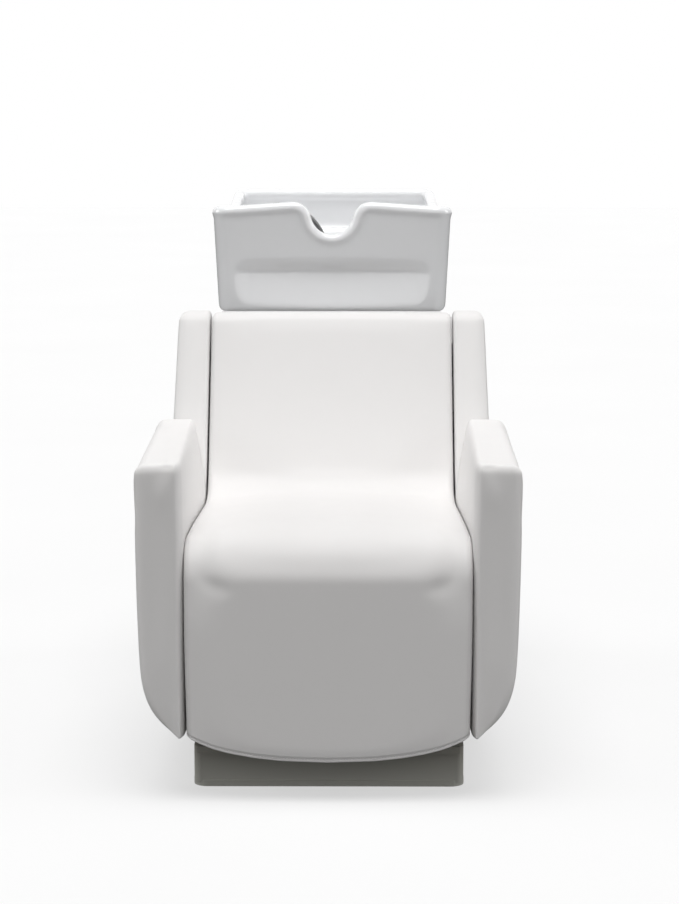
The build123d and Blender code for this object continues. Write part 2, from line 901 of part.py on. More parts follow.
def shell_screw_places():
    """Seats of the screws that hold the shell, on the outer side of the seat and back bars."""
    depth = rail_offset + seat_rail_height
    places = []
    for index, shares in ((arc_steps + 1, screw_seat_shares), (2 * arc_steps + 2, screw_back_shares)):
        start, end, length = straight_run(index)
        for share in shares:
            for side in (-1, 1):
                places.append((start, side * rail_x, depth, length * share))
    return places


def make_chassis():
    """The welded tube frame with seat, back and arm supports."""
    stations = ribbon_stations()
    seat_start, seat_end = stations[arc_steps + 1], stations[arc_steps + 2]
    back_start, back_end = stations[2 * arc_steps + 2], stations[-1]
    half_tube = tube_size / 2
    cross_half = rail_x - half_tube
    x_low, x_high = cross_half, rail_x + half_tube
    slope = (seat_rear_z - seat_front_z) / seat_depth
    rail_depth = rail_offset + seat_rail_height
    half_frame = square_tube(x_low, x_high, rail_front_y, rail_rear_y, rail_low_z, rail_high_z, "y")
    for share in post_shares:
        y = front_y + seat_depth * share
        top = seat_front_z + slope * seat_depth * share - rail_offset - seat_rail_height / 2
        post = square_tube(x_low, x_high, y, y + tube_size, rail_high_z, top, "z")
        stub = block(x_high, arm_block_x - flange_thickness, y, y + tube_size / 2,
                     arm_block_low_z + overrun, arm_block_high_z - overrun)
        half_frame = half_frame + post + stub
    post_y = back_top_y - (back_top_z - back_post_z) * lean_run + rail_offset / math.cos(lean)
    post_y = post_y + back_post_margin
    half_frame = half_frame + square_tube(x_low, x_high, post_y, post_y + tube_size, rail_high_z,
                                          back_post_z, "z")
    half_frame = half_frame + run_box(seat_start, seat_end, x_low, x_high, rail_offset, rail_depth, 0, 1)
    half_frame = half_frame + run_box(back_start, back_end, x_low, x_high, rail_offset, rail_depth,
                                      0, back_rail_top_share)
    bar_depth = wing_rear_depth() + fit_gap
    bar_x = wing_inner_x + wing_skin + wing_block_width
    for z in wing_bar_places():
        low, high = bar_shares(back_start, back_end, z + bar_depth * math.sin(lean))
        half_frame = half_frame + run_box(back_start, back_end, x_low, bar_x, bar_depth,
                                          bar_depth + wing_bar_thickness, low, high)
    block_x, _, block_y_low, block_y_high, block_z_low, block_z_high = arm_block()
    flange = block(block_x - flange_thickness, block_x, block_y_low, block_y_high,
                   block_z_low, block_z_high)
    for y, z in arm_bolt_places():
        flange = flange - rod(arm_bolt_radius + mesh_gap, (block_x - overrun, y, z),
                              (block_x + overrun, y, z))
    half_frame = half_frame + flange
    frame = half_frame + mirrored(half_frame)
    cross_places = (rail_front_y + cross_inset, arm_rear_y, pivot_y - half_tube,
                    rail_rear_y - tube_size)
    for y in cross_places:
        frame = frame + square_tube(-cross_half, cross_half, y, y + tube_size,
                                    rail_low_z, rail_high_z, "x")
    for x in (-column_bolt_x, column_bolt_x):
        hole_z = rail_low_z + tube_wall + overrun / 2
        frame = frame - rod(column_bolt_radius + mesh_gap, (x, pivot_y, hole_z),
                            (x, pivot_y, rail_high_z + overrun))
    for place in wing_bolt_places():
        frame = frame - across_bolt(place, wing_bolt_radius + mesh_gap, 0, 0, wing_bolt_length)
    for place in shell_screw_places():
        frame = frame - across_bolt(place, screw_radius + mesh_gap, 0, 0, seat_rail_height)
    save("chassis", frame)


def bolt(head_at, way, head_radius, head_height, radius, length):
    """A round-headed bolt: its head stands out from head_at and its shank goes in along way."""
    seat = Vector(*head_at)
    direction = Vector(*way)
    top = seat - direction * head_height
    tip = seat + direction * length
    return rod(head_radius, tuple(top), tuple(seat)) + rod(radius, tuple(seat), tuple(tip))


def make_fasteners():
    """Arm, wing and shell bolts and the column's bolts."""
    arm_bolts = []
    for y, z in arm_bolt_places():
        seat = (arm_block_x - flange_thickness, y, z)
        one = bolt(seat, (1, 0, 0), bolt_head_radius, bolt_head_height, arm_bolt_radius - mesh_gap,
                   flange_thickness + arm_bolt_engagement)
        arm_bolts += [one, mirrored(one)]
    save("arm_bolts", group(arm_bolts))
    column_bolts = []
    for x in (-column_bolt_x, column_bolt_x):
        seat = (x, pivot_y, rail_high_z + column_flange)
        column_bolts.append(bolt(seat, (0, 0, -1), bolt_head_radius, bolt_head_height, column_bolt_radius,
                                 column_flange + tube_wall * 2))
    save("column_bolts", group(column_bolts))
    wing_bolts = []
    for place in wing_bolt_places():
        wing_bolts.append(across_bolt(place, wing_bolt_radius, bolt_head_radius, bolt_head_height,
                                      wing_bolt_length))
    save("wing_bolts", group(wing_bolts))
    screws = []
    for place in shell_screw_places():
        screws.append(across_bolt(place, screw_radius, screw_head_radius, screw_head_height,
                                  seat_rail_height + screw_bite))
    save("shell_screws", group(screws))


# Housing for the plumbing

def make_housing():
    """Side panels, rear frame, top panel and collar."""
    inner_x = panel_outer_x - panel_thickness
    frame_y = housing_rear_y - rear_frame_thickness
    near = arm_rear_y + panel_rear_gap
    wing_low_rear = wing_front_y(arm_rear_low_z) + wing_depth + panel_rear_gap
    wing_high_rear = wing_front_y(housing_top_z) + wing_depth + panel_rear_gap
    low_z = arm_rear_low_z - panel_rear_gap
    outline = [(near, panel_low_z), (near, low_z), (wing_low_rear, low_z), (wing_high_rear, housing_top_z),
               (frame_y, housing_top_z), (frame_y, panel_low_z)]
    panel = side_prism(outline, inner_x, panel_outer_x)
    save("right_side_panel", panel)
    save("left_side_panel", mirrored(panel))
    opening_x = door_half_width - door_overlap
    frame = block(-panel_outer_x, panel_outer_x, frame_y, housing_rear_y, panel_low_z, housing_top_z)
    frame = frame - block(-opening_x, opening_x, frame_y - overrun, housing_rear_y + overrun,
                          door_low_z + door_overlap, door_high_z - door_overlap)
    save("rear_frame", frame)
    collar_front = basin_front_y + basin_length * collar_front_share
    collar_rear = rear_y - collar_rear_inset
    rail_rear = back_top_y - (back_top_z - housing_top_z) * lean_run
    rail_rear = rail_rear + (rail_offset + seat_rail_height) / math.cos(lean) + panel_rear_gap
    hole_x = collar_half_width - collar_wall
    top = block(-inner_x, inner_x, rail_rear, frame_y, housing_top_z - top_thickness, housing_top_z)
    top = top - block(-hole_x, hole_x, collar_front + collar_wall, collar_rear - collar_wall,
                      housing_top_z - overrun, housing_top_z + overrun)
    save("top_panel", top)
    collar = block(-collar_half_width, collar_half_width, collar_front, collar_rear,
                   housing_top_z, collar_top_z)
    foot_x = collar_half_width + collar_foot
    foot = block(-foot_x, foot_x, collar_front - collar_foot, collar_rear + collar_foot,
                 housing_top_z, housing_top_z + collar_wall)
    hole = block(-hole_x, hole_x, collar_front + collar_wall, collar_rear - collar_wall,
                 housing_top_z - overrun, collar_top_z + overrun)
    save("collar", collar + foot - hole)


def hinge_places():
    """Lower ends of the two door hinges."""
    height = door_high_z - door_low_z
    return [door_low_z + height * share - hinge_height / 2 for share in (hinge_low_share, hinge_high_share)]


def make_door():
    """Service door, hinges, catch and pull."""
    face_y = housing_rear_y + door_gap
    outer_y = face_y + door_thickness
    axis_x = -door_half_width - knuckle_offset
    save("service_door", block(-door_half_width, door_half_width, face_y, outer_y, door_low_z, door_high_z))
    half = hinge_height / 2
    fixed, moving = [], []
    for low in hinge_places():
        split = low + half
        top = low + hinge_height
        knuckle = rod(knuckle_radius, (axis_x, outer_y, low), (axis_x, outer_y, split - mesh_gap))
        leaf_x = axis_x - leaf_width
        leaf = block(leaf_x, axis_x - leaf_thickness, housing_rear_y, housing_rear_y + leaf_thickness,
                     low, split - mesh_gap)
        crank = block(axis_x - 2 * leaf_thickness, axis_x - leaf_thickness, housing_rear_y,
                      outer_y - leaf_thickness, low, split - mesh_gap)
        pin = rod(hinge_pin_radius, (axis_x, outer_y, low), (axis_x, outer_y, top))
        fixed.append(knuckle + leaf + crank + pin)
        sleeve = tube(knuckle_radius, hinge_pin_radius + pivot_fit, (axis_x, outer_y, split),
                      (axis_x, outer_y, top))
        flap = block(axis_x + hinge_pin_radius + leaf_thickness / 2, axis_x + knuckle_offset + leaf_width,
                     outer_y, outer_y + leaf_thickness, split, top)
        moving.append(sleeve + flap)
    save("hinge_fixed_leaves", group(fixed))
    save("hinge_moving_leaves", group(moving))
    opening_x = door_half_width - door_overlap
    middle_z = (door_low_z + door_high_z) / 2
    strike_y = face_y - strike_thickness
    catch_low, catch_high = middle_z - catch_width / 2, middle_z + catch_width / 2
    save("strike_plate", block(opening_x - catch_depth - strike_clear, opening_x - strike_clear,
                               strike_y, face_y, catch_low, catch_high))
    save("magnet_catch", block(opening_x - catch_depth, opening_x, strike_y - fit_gap - catch_height,
                               strike_y - fit_gap, catch_low, catch_high))
    pull_x = door_half_width - grip_inset
    posts = None
    for z in (middle_z - grip_width / 2, middle_z + grip_width / 2):
        post = rod(grip_radius, (pull_x, outer_y, z), (pull_x, outer_y + grip_height, z))
        posts = post if posts is None else posts + post
    bar = rod(grip_radius, (pull_x, outer_y + grip_height, middle_z - grip_width / 2 - grip_radius),
              (pull_x, outer_y + grip_height, middle_z + grip_width / 2 + grip_radius))
    save("door_pull", posts + bar)


# Column and tilt pivot

def make_column():
    """Basin column, pivot bracket and pivot pin."""
    half_x, half_y = column_width / 2, column_depth / 2
    low = rail_high_z
    post = block(-half_x, half_x, pivot_y - half_y, pivot_y + half_y, low, column_top_z)
    hollow = block(-half_x + column_wall, half_x - column_wall, pivot_y - half_y + column_wall,
                   pivot_y + half_y - column_wall, low + column_flange, column_top_z - column_flange)
    flange = block(-half_x - column_flange_margin, half_x + column_flange_margin,
                   pivot_y - half_y, pivot_y + half_y, low, low + column_flange)
    column = post - block(-half_x + column_wall, half_x - column_wall, pivot_y - half_y + column_wall,
                          pivot_y + half_y - column_wall, low - overrun, column_top_z - column_flange)
    column = column + (flange - hollow)
    for x in (-column_bolt_x, column_bolt_x):
        column = column - rod(column_bolt_radius + mesh_gap, (x, pivot_y, low - overrun),
                              (x, pivot_y, low + overrun))
    save("basin_column", column)
    ear_x = ear_gap / 2
    outer_x = ear_x + ear_thickness
    base_top = column_top_z + bracket_base
    bracket = block(-outer_x, outer_x, pivot_y - half_y, pivot_y + half_y, column_top_z, base_top)
    for low_x in (-outer_x, ear_x):
        ear = block(low_x, low_x + ear_thickness, pivot_y - ear_radius, pivot_y + ear_radius,
                    base_top, pivot_z)
        ear = ear + rod(ear_radius, (low_x, pivot_y, pivot_z), (low_x + ear_thickness, pivot_y, pivot_z))
        bracket = bracket + ear
    bore = pivot_pin_radius + pivot_fit
    bracket = bracket - rod(bore, (-outer_x - overrun, pivot_y, pivot_z),
                            (outer_x + overrun, pivot_y, pivot_z))
    save("pivot_bracket", bracket)
    pin = rod(pivot_pin_radius, (-outer_x, pivot_y, pivot_z), (outer_x, pivot_y, pivot_z))
    for side in (-1, 1):
        near = side * (outer_x + mesh_gap)
        far = near + side * pin_head
        pin = pin + rod(pin_head_radius, (near, pivot_y, pivot_z), (far, pivot_y, pivot_z))
        pin = pin + rod(pivot_pin_radius, (side * outer_x, pivot_y, pivot_z), (near, pivot_y, pivot_z))
    save("pivot_pin", pin)


def basin_bolt_places():
    """Middles of the four bosses under the bowl, as (x, y)."""
    rows = [basin_front_y + basin_length * share for share in boss_shares]
    return [(x, y) for x in (-boss_x, boss_x) for y in rows]


def make_cradle():
    """Tilting cradle with its bushes, pads and bolts."""
    near = basin_front_y + basin_length * cradle_front_share
    far = basin_rear_y - basin_length * cradle_rear_share
    top = cradle_z + cradle_thickness
    plate = block(-cradle_half_width, cradle_half_width, near, far, cradle_z, top)
    plate = plate - block(-cradle_hole_half_width, cradle_hole_half_width, drain_y - cradle_hole_ahead,
                          drain_y + cradle_hole_behind, cradle_z - overrun, top + overrun)
    for x, y in basin_bolt_places():
        plate = plate - rod(cradle_bolt_radius + mesh_gap, (x, y, cradle_z - overrun),
                            (x, y, top + overrun))
    bush_outer = pivot_pin_radius + pivot_fit + bush_wall
    lug_outer = ear_gap / 2 - lug_clearance - bush_flange
    bushes = []
    for side in (-1, 1):
        outer_x = side * lug_outer
        inner_x = side * (lug_outer - lug_thickness)
        low_x, high_x = min(outer_x, inner_x), max(outer_x, inner_x)
        lug = block(low_x, high_x, pivot_y - ear_radius, pivot_y + ear_radius, pivot_z, cradle_z)
        lug = lug + rod(ear_radius, (low_x, pivot_y, pivot_z), (high_x, pivot_y, pivot_z))
        lug = lug - rod(bush_outer + mesh_gap, (low_x - overrun / 2, pivot_y, pivot_z),
                        (high_x + overrun / 2, pivot_y, pivot_z))
        plate = plate + lug
        flange_x = side * (lug_outer + bush_flange)
        bush = rod(bush_outer, (inner_x, pivot_y, pivot_z), (outer_x, pivot_y, pivot_z))
        bush = bush + rod(bush_outer + bush_wall, (outer_x, pivot_y, pivot_z), (flange_x, pivot_y, pivot_z))
        bush = bush - rod(pivot_pin_radius + pivot_fit, (inner_x - side * overrun, pivot_y, pivot_z),
                          (flange_x + side * overrun, pivot_y, pivot_z))
        bushes.append(bush)
    save("cradle", plate)
    save("pivot_bushes", group(bushes))
    pads, bolts = [], []
    for x, y in basin_bolt_places():
        pads.append(tube(cradle_pad_radius, cradle_bolt_radius + mesh_gap, (x, y, top),
                         (x, y, top + cradle_pad_height)))
        bolts.append(bolt((x, y, cradle_z), (0, 0, 1), bolt_head_radius, bolt_head_height,
                          cradle_bolt_radius, cradle_thickness + cradle_pad_height + cradle_bolt_grip))
    save("cradle_pads", group(pads))
    save("basin_bolts", group(bolts))


# Basin

def basin_half(y, z):
    """Half the basin's width at a place along it and a height."""
    share = (y - basin_front_y) / (basin_rear_y - basin_front_y)
    drop = (rim_shoulder_z - z) / (rim_shoulder_z - basin_low_z)
    return between(basin_front_half_width, basin_rear_half_width, share) - basin_draft * drop


def basin_body(z_low, z_high, side_inset, front_inset, rear_inset, corner):
    """A tapered, rounded body with the basin's plan, drawn in by the insets."""
    near = basin_front_y + front_inset
    far = basin_rear_y - rear_inset
    faces = []
    for z in (z_low, z_high):
        front_half = basin_half(near, z) - side_inset
        rear_half = basin_half(far, z) - side_inset
        corners = [(-front_half, near), (front_half, near), (rear_half, far), (-rear_half, far)]
        face = make_face(Polyline(*corners, close=True))
        face = fillet(face.vertices(), corner)
        faces.append(Pos(0, 0, z) * face)
    return loft(faces, ruled=True)


def bowl_body(grow, top_z):
    """The bowl's hollow, or the hollow grown by the bowl's wall."""
    near, far = basin_front_y, basin_rear_y
    rows = []
    for z, share in ((top_z, 0), (bowl_mid_z - grow / 2, bowl_mid_share), (bowl_low_z - grow, 1)):
        half = between(bowl_half_width, bowl_low_half_width, share) + grow
        y_low = near + basin_length * between(bowl_front_share, bowl_low_front_share, share) - grow
        y_high = far - basin_length * between(bowl_rear_share, bowl_low_rear_share, share) + grow
        outline = RectangleRounded(2 * half, y_high - y_low, bowl_corner)
        rows.append(Pos(0, (y_low + y_high) / 2, z) * outline)
    return loft(rows, ruled=True)


def rim_y():
    """Where the front rim's middle line is."""
    return basin_front_y + rim_radius - rim_overhang


def rim_front_edges():
    """The front rim's middle line from the notch's bottom to the tip, right-hand side, in X and Z."""
    angle = math.radians(notch_angle)
    bottom = (0, notch_centre_z - notch_radius)
    first = CenterArc((0, notch_centre_z), notch_radius, -90, notch_angle)
    end_x = notch_radius * math.sin(angle)
    end_z = notch_centre_z - notch_radius * math.cos(angle)
    tip_x = basin_half(basin_front_y, rim_tip_z) - rim_radius + rim_overhang
    rise = rim_shoulder_z - end_z
    fall = 0
    for _ in range(tangent_rounds):
        radius = rise / (math.cos(fall) - math.cos(angle))
        centre = (end_x + radius * math.sin(angle), end_z - radius * math.cos(angle))
        fall = math.atan2(rim_shoulder_z - rim_tip_z, tip_x - centre[0] - radius * math.sin(fall))
    top_angle = 90 - math.degrees(fall)
    second = CenterArc(centre, radius, 90 + notch_angle, -(90 + notch_angle - top_angle))
    top = second @ 1
    return bottom, first, second, (top.X, top.Y), (tip_x, rim_tip_z)


def make_rim():
    """The rolled rim, right-hand half: notch lip, front rim, side dip and raised rear."""
    bottom, first, second, top, tip = rim_front_edges()
    plane = Plane(origin=(0, rim_y(), 0), x_dir=(1, 0, 0), z_dir=(0, -1, 0))
    y = rim_y()
    far = basin_rear_y - rim_radius + rim_overhang
    reach = rim_radius - rim_overhang

    def side_x(place_y, z):
        return basin_half(place_y, z) - reach

    run_y = basin_front_y + rim_corner_run
    dip_y = basin_front_y + rim_saddle_front
    rise_y = basin_rear_y - rim_saddle_rear
    crest_y = rise_y + rim_saddle_run
    route = [
        (top[0], y, top[1]),
        (tip[0], y, tip[1]),
        (side_x(run_y, rim_tip_z), run_y, rim_tip_z),
        (side_x(dip_y, rim_side_z), dip_y, rim_side_z),
        (side_x(rise_y, rim_side_z), rise_y, rim_side_z),
        (side_x(crest_y, rim_rear_z), crest_y, rim_rear_z - rim_crest_drop),
        (side_x(far, rim_rear_z), far, rim_rear_z),
        (0, far, rim_rear_z),
    ]
    radii = [rim_corner, rim_bend, rim_bend, rim_bend, rim_bend, rim_corner_small]
    round_path = FilletPolyline(*route, radius=radii)
    path = Wire([plane * first, plane * second] + list(round_path.edges()))
    section = Plane(origin=path @ 0, z_dir=path % 0) * Circle(rim_radius)
    return sweep(section, path=path)


def front_cutter():
    """Everything above the front rim's middle line, with the neck recess."""
    bottom, first, second, top, tip = rim_front_edges()
    high = rim_shoulder_z + overrun
    wide = tip[0] + overrun
    slope_z = tip[1] - (top[1] - tip[1]) / (tip[0] - top[0]) * overrun
    outline = Polyline(top, (wide, slope_z), (wide, high), (0, high), bottom)
    face = make_face([first, second] + list(outline.edges()))
    plane = Plane(origin=(0, basin_front_y - overrun, 0), x_dir=(1, 0, 0), z_dir=(0, -1, 0))
    cut = extrude(plane * face, amount=-(overrun + rim_corner_run))
    return cut + mirrored(cut)


def apron_scoop():
    """The long shallow scoop across the basin's front."""
    wide = basin_half(basin_front_y, scoop_deep_z) * scoop_end_share
    outside = basin_front_y - overrun
    edge = basin_front_y - scoop_edge
    rows = []
    for x_share, depth_share in scoop_shares:
        deep = basin_front_y - scoop_edge / 2 + scoop_depth * depth_share
        low_z = between(scoop_deep_z, scoop_low_z, between(scoop_low_share, 1, depth_share))
        bow = (between(edge, deep, scoop_bow_share), (low_z + scoop_deep_z) / 2)
        wire = Wire([
            Plane.YZ.offset(wide * x_share) * line for line in (
                Line((outside, scoop_top_z), (edge, scoop_top_z)),
                Line((edge, scoop_top_z), (deep, scoop_deep_z)),
                ThreePointArc((deep, scoop_deep_z), bow, (edge, low_z)),
                Line((edge, low_z), (outside, low_z)),
                Line((outside, low_z), (outside, scoop_top_z)),
            )
        ])
        rows.append(wire)
    return Solid.make_loft(rows, True)


def make_basin():
    """The glazed ceramic basin: skirt, deck, bowl, raised rear and rolled rim."""
    high = rim_shoulder_z + overrun
    solid = basin_body(basin_low_z, rim_shoulder_z, 0, 0, 0, basin_corner)
    inner_corner = basin_corner - side_wall
    well = basin_body(deck_z, high, side_wall, front_wall, side_wall, inner_corner)
    under = basin_body(basin_low_z - overrun, deck_z - deck_thickness, side_wall, front_wall, side_wall,
                       inner_corner)
    boss_low = cradle_z + cradle_thickness + cradle_pad_height
    for x, y in basin_bolt_places():
        under = under - rod(boss_radius, (x, y, boss_low), (x, y, bowl_mid_z))
    solid = solid - (under - bowl_body(bowl_wall, deck_z)) - well
    solid = solid - bowl_body(0, deck_z)
    skirt_y = basin_front_y + basin_skirt_front
    wide = half_width
    low = basin_low_z - overrun
    skirt_z = basin_low_z + basin_skirt_rise
    slope = [(skirt_y, low), (skirt_y, basin_low_z), (rear_y, skirt_z), (rear_y, low)]
    slope_x = boss_x + boss_radius + overrun
    solid = solid - side_prism(slope, -wide, -slope_x) - side_prism(slope, slope_x, wide)
    far_low = basin_rear_y - side_wall - overrun
    end = [(far_low, low), (far_low, skirt_z), (rear_y, skirt_z), (rear_y, low)]
    solid = solid - side_prism(end, -wide, wide)
    run_y = basin_front_y + rim_corner_run
    dip_y = basin_front_y + rim_saddle_front
    rise_y = basin_rear_y - rim_saddle_rear
    crest_y = rise_y + rim_saddle_run
    saddle = [(run_y, high), (run_y, rim_tip_z), (dip_y, rim_side_z), (rise_y, rim_side_z),
              (crest_y, rim_rear_z - rim_crest_drop), (rear_y, rim_rear_z), (rear_y, high)]
    solid = solid - side_prism(saddle, -wide, wide) - front_cutter()
    rim = make_rim()
    solid = solid + rim + mirrored(rim)
    solid = solid - apron_scoop()
    corner_x = basin_half(basin_front_y, basin_low_z)
    near = basin_front_y - overrun
    deep = basin_front_y + front_wall + overrun
    cut = block(corner_x - apron_corner, corner_x + overrun, near, deep, low, basin_low_z + apron_corner)
    cut = cut - rod(apron_corner, (corner_x - apron_corner, near, basin_low_z + apron_corner),
                    (corner_x - apron_corner, deep, basin_low_z + apron_corner))
    solid = solid - cut - mirrored(cut)
    deck_low = deck_z - 2 * deck_thickness
    deck_high = deck_z + deck_thickness
    solid = solid - rod(drain_radius + mesh_gap, (0, drain_y, bowl_low_z - overrun),
                        (0, drain_y, bowl_low_z + overrun / 2))
    for radius, x, y in ((mixer_shank_radius + fit_gap, mixer_x, mixer_y),
                         (grommet_radius + fit_gap, grommet_x, grommet_y),
                         (holder_post_radius, holder_x, holder_y)):
        solid = solid - rod(radius, (x, y, deck_low), (x, y, deck_high))
    for x, y in basin_bolt_places():
        solid = solid - rod(cradle_bolt_radius + mesh_gap, (x, y, boss_low - overrun),
                            (x, y, boss_low + cradle_bolt_grip + mesh_gap))
    save("basin", solid)


def make_drain():
    """Waste flange, gasket, nut with tailpiece, and the lift-out hair strainer."""
    floor_z = bowl_low_z
    under_z = bowl_low_z - bowl_wall
    bore = drain_radius - 2 * tail_wall
    throat_end = under_z - gasket_height - nut_height - tail_wall
    flange = rod(drain_flange_radius, (0, drain_y, floor_z), (0, drain_y, floor_z + drain_flange_height))
    flange = flange + rod(drain_radius, (0, drain_y, throat_end), (0, drain_y, floor_z))
    seat_z = floor_z + drain_flange_height - strainer_height
    flange = flange - rod(bore, (0, drain_y, throat_end - overrun), (0, drain_y, floor_z + overrun))
    flange = flange - rod(strainer_radius + fit_gap, (0, drain_y, seat_z), (0, drain_y, floor_z + overrun))
    save("drain_flange", flange)
    nut_top = under_z - gasket_height
    save("drain_gasket", tube(gasket_radius, drain_radius + mesh_gap, (0, drain_y, nut_top),
                              (0, drain_y, under_z)))
    nut_low = nut_top - nut_height
    tail_end = throat_end - tail_length
    nut = rod(nut_radius, (0, drain_y, nut_low), (0, drain_y, nut_top))
    nut = nut + rod(drain_radius + 2 * tail_wall, (0, drain_y, throat_end - tail_wall),
                    (0, drain_y, nut_low))
    nut = nut - rod(drain_radius + mesh_gap, (0, drain_y, throat_end), (0, drain_y, nut_top + overrun))
    nut = nut + rod(tail_radius, (0, drain_y, tail_end), (0, drain_y, throat_end))
    nut = nut - rod(tail_radius - tail_wall, (0, drain_y, tail_end - overrun), (0, drain_y, throat_end))
    save("drain_tail_nut", nut)
    strainer = rod(strainer_radius, (0, drain_y, seat_z), (0, drain_y, floor_z + drain_flange_height))
    strainer = strainer - rod(strainer_radius - tail_wall, (0, drain_y, seat_z + tail_wall),
                              (0, drain_y, floor_z + overrun))
    strainer = strainer + rod(strainer_knob_radius, (0, drain_y, seat_z),
                              (0, drain_y, seat_z + tail_wall + strainer_knob_height))
    for ring in range(1, strainer_rings + 1):
        ring_radius = strainer_knob_radius + ring * strainer_pitch
        count = strainer_holes * ring
        for index in range(count):
            angle = 2 * math.pi * index / count
            x = ring_radius * math.cos(angle)
            y = drain_y + ring_radius * math.sin(angle)
            strainer = strainer - rod(strainer_hole_radius, (x, y, seat_z - overrun),
                                      (x, y, seat_z + tail_wall * 2))
    save("hair_strainer", strainer)


# Mixer and hand shower

def make_mixer():
    """Mixer body with its shank and nut, the turning cap and the lever."""
    top = deck_z + mixer_height
    under = deck_z - deck_thickness
    shank_end = under - mixer_shank_length
    body = rod(mixer_radius, (mixer_x, mixer_y, deck_z), (mixer_x, mixer_y, top))
    body = body + rod(mixer_shank_radius, (mixer_x, mixer_y, shank_end), (mixer_x, mixer_y, deck_z))
    save("mixer_body", body)
    save("mixer_nut", tube(mixer_nut_radius, mixer_shank_radius + mesh_gap,
                           (mixer_x, mixer_y, under - mixer_nut_height), (mixer_x, mixer_y, under)))
    cap_low = top + fit_gap
    cap_top = cap_low + cap_height
    pin_z = cap_top + fit_gap + lever_thickness / 2
    pin_y = mixer_y + lever_pin_offset
    fork_x = lever_width / 2 + lever_gap
    cap = rod(cap_radius, (mixer_x, mixer_y, cap_low), (mixer_x, mixer_y, cap_top))
    cap = chamfer(cap.edges().group_by(Axis.Z)[-1], cap_chamfer)
    half = lever_thickness / 2
    for low in (mixer_x - fork_x - fork_thickness, mixer_x + fork_x):
        cap = cap + block(low, low + fork_thickness, pin_y - half, pin_y + half,
                          cap_top - cap_chamfer, pin_z + half)
    cap = cap + rod(lever_pin_radius, (mixer_x - fork_x - fork_thickness / 2, pin_y, pin_z),
                    (mixer_x + fork_x + fork_thickness / 2, pin_y, pin_z))
    save("mixer_cap", cap)
    lever = block(mixer_x - lever_width / 2, mixer_x + lever_width / 2, pin_y - lever_length, pin_y,
                  pin_z - half, pin_z + half)
    lever = fillet(lever.edges().filter_by(Axis.Z).group_by(Axis.Y)[0], lever_width / 2 - fit_gap)
    lever = lever + rod(half, (mixer_x - lever_width / 2, pin_y, pin_z),
                        (mixer_x + lever_width / 2, pin_y, pin_z))
    lever = lever - rod(lever_pin_radius + pivot_fit, (mixer_x - overrun, pin_y, pin_z),
                        (mixer_x + overrun, pin_y, pin_z))
    save("mixer_lever", lever)


def make_shower():
    """Grommet, holder, handle, spray face and hose nut of the hand shower."""
    under = deck_z - deck_thickness
    grommet = rod(grommet_radius, (grommet_x, grommet_y, under - grommet_height),
                  (grommet_x, grommet_y, deck_z))
    grommet = grommet + rod(grommet_flange_radius, (grommet_x, grommet_y, deck_z),
                            (grommet_x, grommet_y, deck_z + grommet_height))
    grommet = grommet - rod(hose_radius + grommet_gap, (grommet_x, grommet_y, under - overrun),
                            (grommet_x, grommet_y, deck_z + overrun))
    save("hose_grommet", grommet)
    saddle_low = deck_z + holder_post_height
    half_length, half_holder = holder_length / 2, holder_width / 2
    holder = block(holder_x - half_holder, holder_x + half_holder, holder_y - half_length,
                   holder_y + half_length, saddle_low, handle_z)
    holder = holder + rod(holder_post_radius - mesh_gap, (holder_x, holder_y, under),
                          (holder_x, holder_y, saddle_low))
    holder = holder + rod(holder_post_radius + grommet_height, (holder_x, holder_y, deck_z),
                          (holder_x, holder_y, deck_z + holder_foot))
    channel = handle_radius + fit_gap
    holder = holder - rod(channel, (holder_x, holder_y - overrun, handle_z),
                          (holder_x, holder_y + overrun, handle_z))
    save("shower_holder", holder)
    head_y = handle_head_y
    tail_y = handle_tail_y
    handle = rod(handle_radius, (holder_x, head_y, handle_z), (holder_x, tail_y, handle_z))
    head_low = handle_z - head_drop
    handle = handle + rod(head_radius, (holder_x, head_y, head_low),
                          (holder_x, head_y, head_low + head_height))
    handle = handle - rod(hose_radius, (holder_x, tail_y - hose_nut_length / 2, handle_z),
                          (holder_x, tail_y + overrun, handle_z))
    save("shower_handle", handle)
    face = rod(head_radius - spray_thickness, (holder_x, head_y, head_low - spray_thickness),
               (holder_x, head_y, head_low))
    for ring in range(1, spray_rings + 1):
        count = spray_holes * ring
        for index in range(count):
            angle = 2 * math.pi * index / count
            x = holder_x + spray_pitch * ring * math.cos(angle)
            y = head_y + spray_pitch * ring * math.sin(angle)
            face = face - rod(spray_hole_radius, (x, y, head_low - spray_thickness * 2),
                              (x, y, head_low))
    save("spray_face", face)
    save("hose_nut", tube(hose_nut_radius, hose_radius, (holder_x, tail_y, handle_z),
                          (holder_x, tail_y + hose_nut_length, handle_z)))


# Hoses: each route is a list of points chosen by hand, in millimetres, with tangent arcs at its corners

def hose_route(points, radius, name):
    """A tube along straight runs joined by arcs as large as the runs allow."""
    radii = []
    for before, corner, after in zip(points, points[1:], points[2:]):
        first = Vector(*corner) - Vector(*before)
        second = Vector(*after) - Vector(*corner)
        turn = math.radians(first.get_angle(second))
        radii.append(arc_share * min(first.length, second.length) / math.tan(turn / 2))
    path = FilletPolyline(*points, radius=radii)
    section = Plane(origin=path @ 0, z_dir=path % 0) * Circle(radius)
    solid = sweep(section, path=path)
    expected = math.pi * radius ** 2 * path.length
    print(name, "length", round(path.length), "least arc", round(min(radii)), "radii",
          [round(value) for value in radii], "volume ratio", round(solid.volume / expected, 4))
    return solid


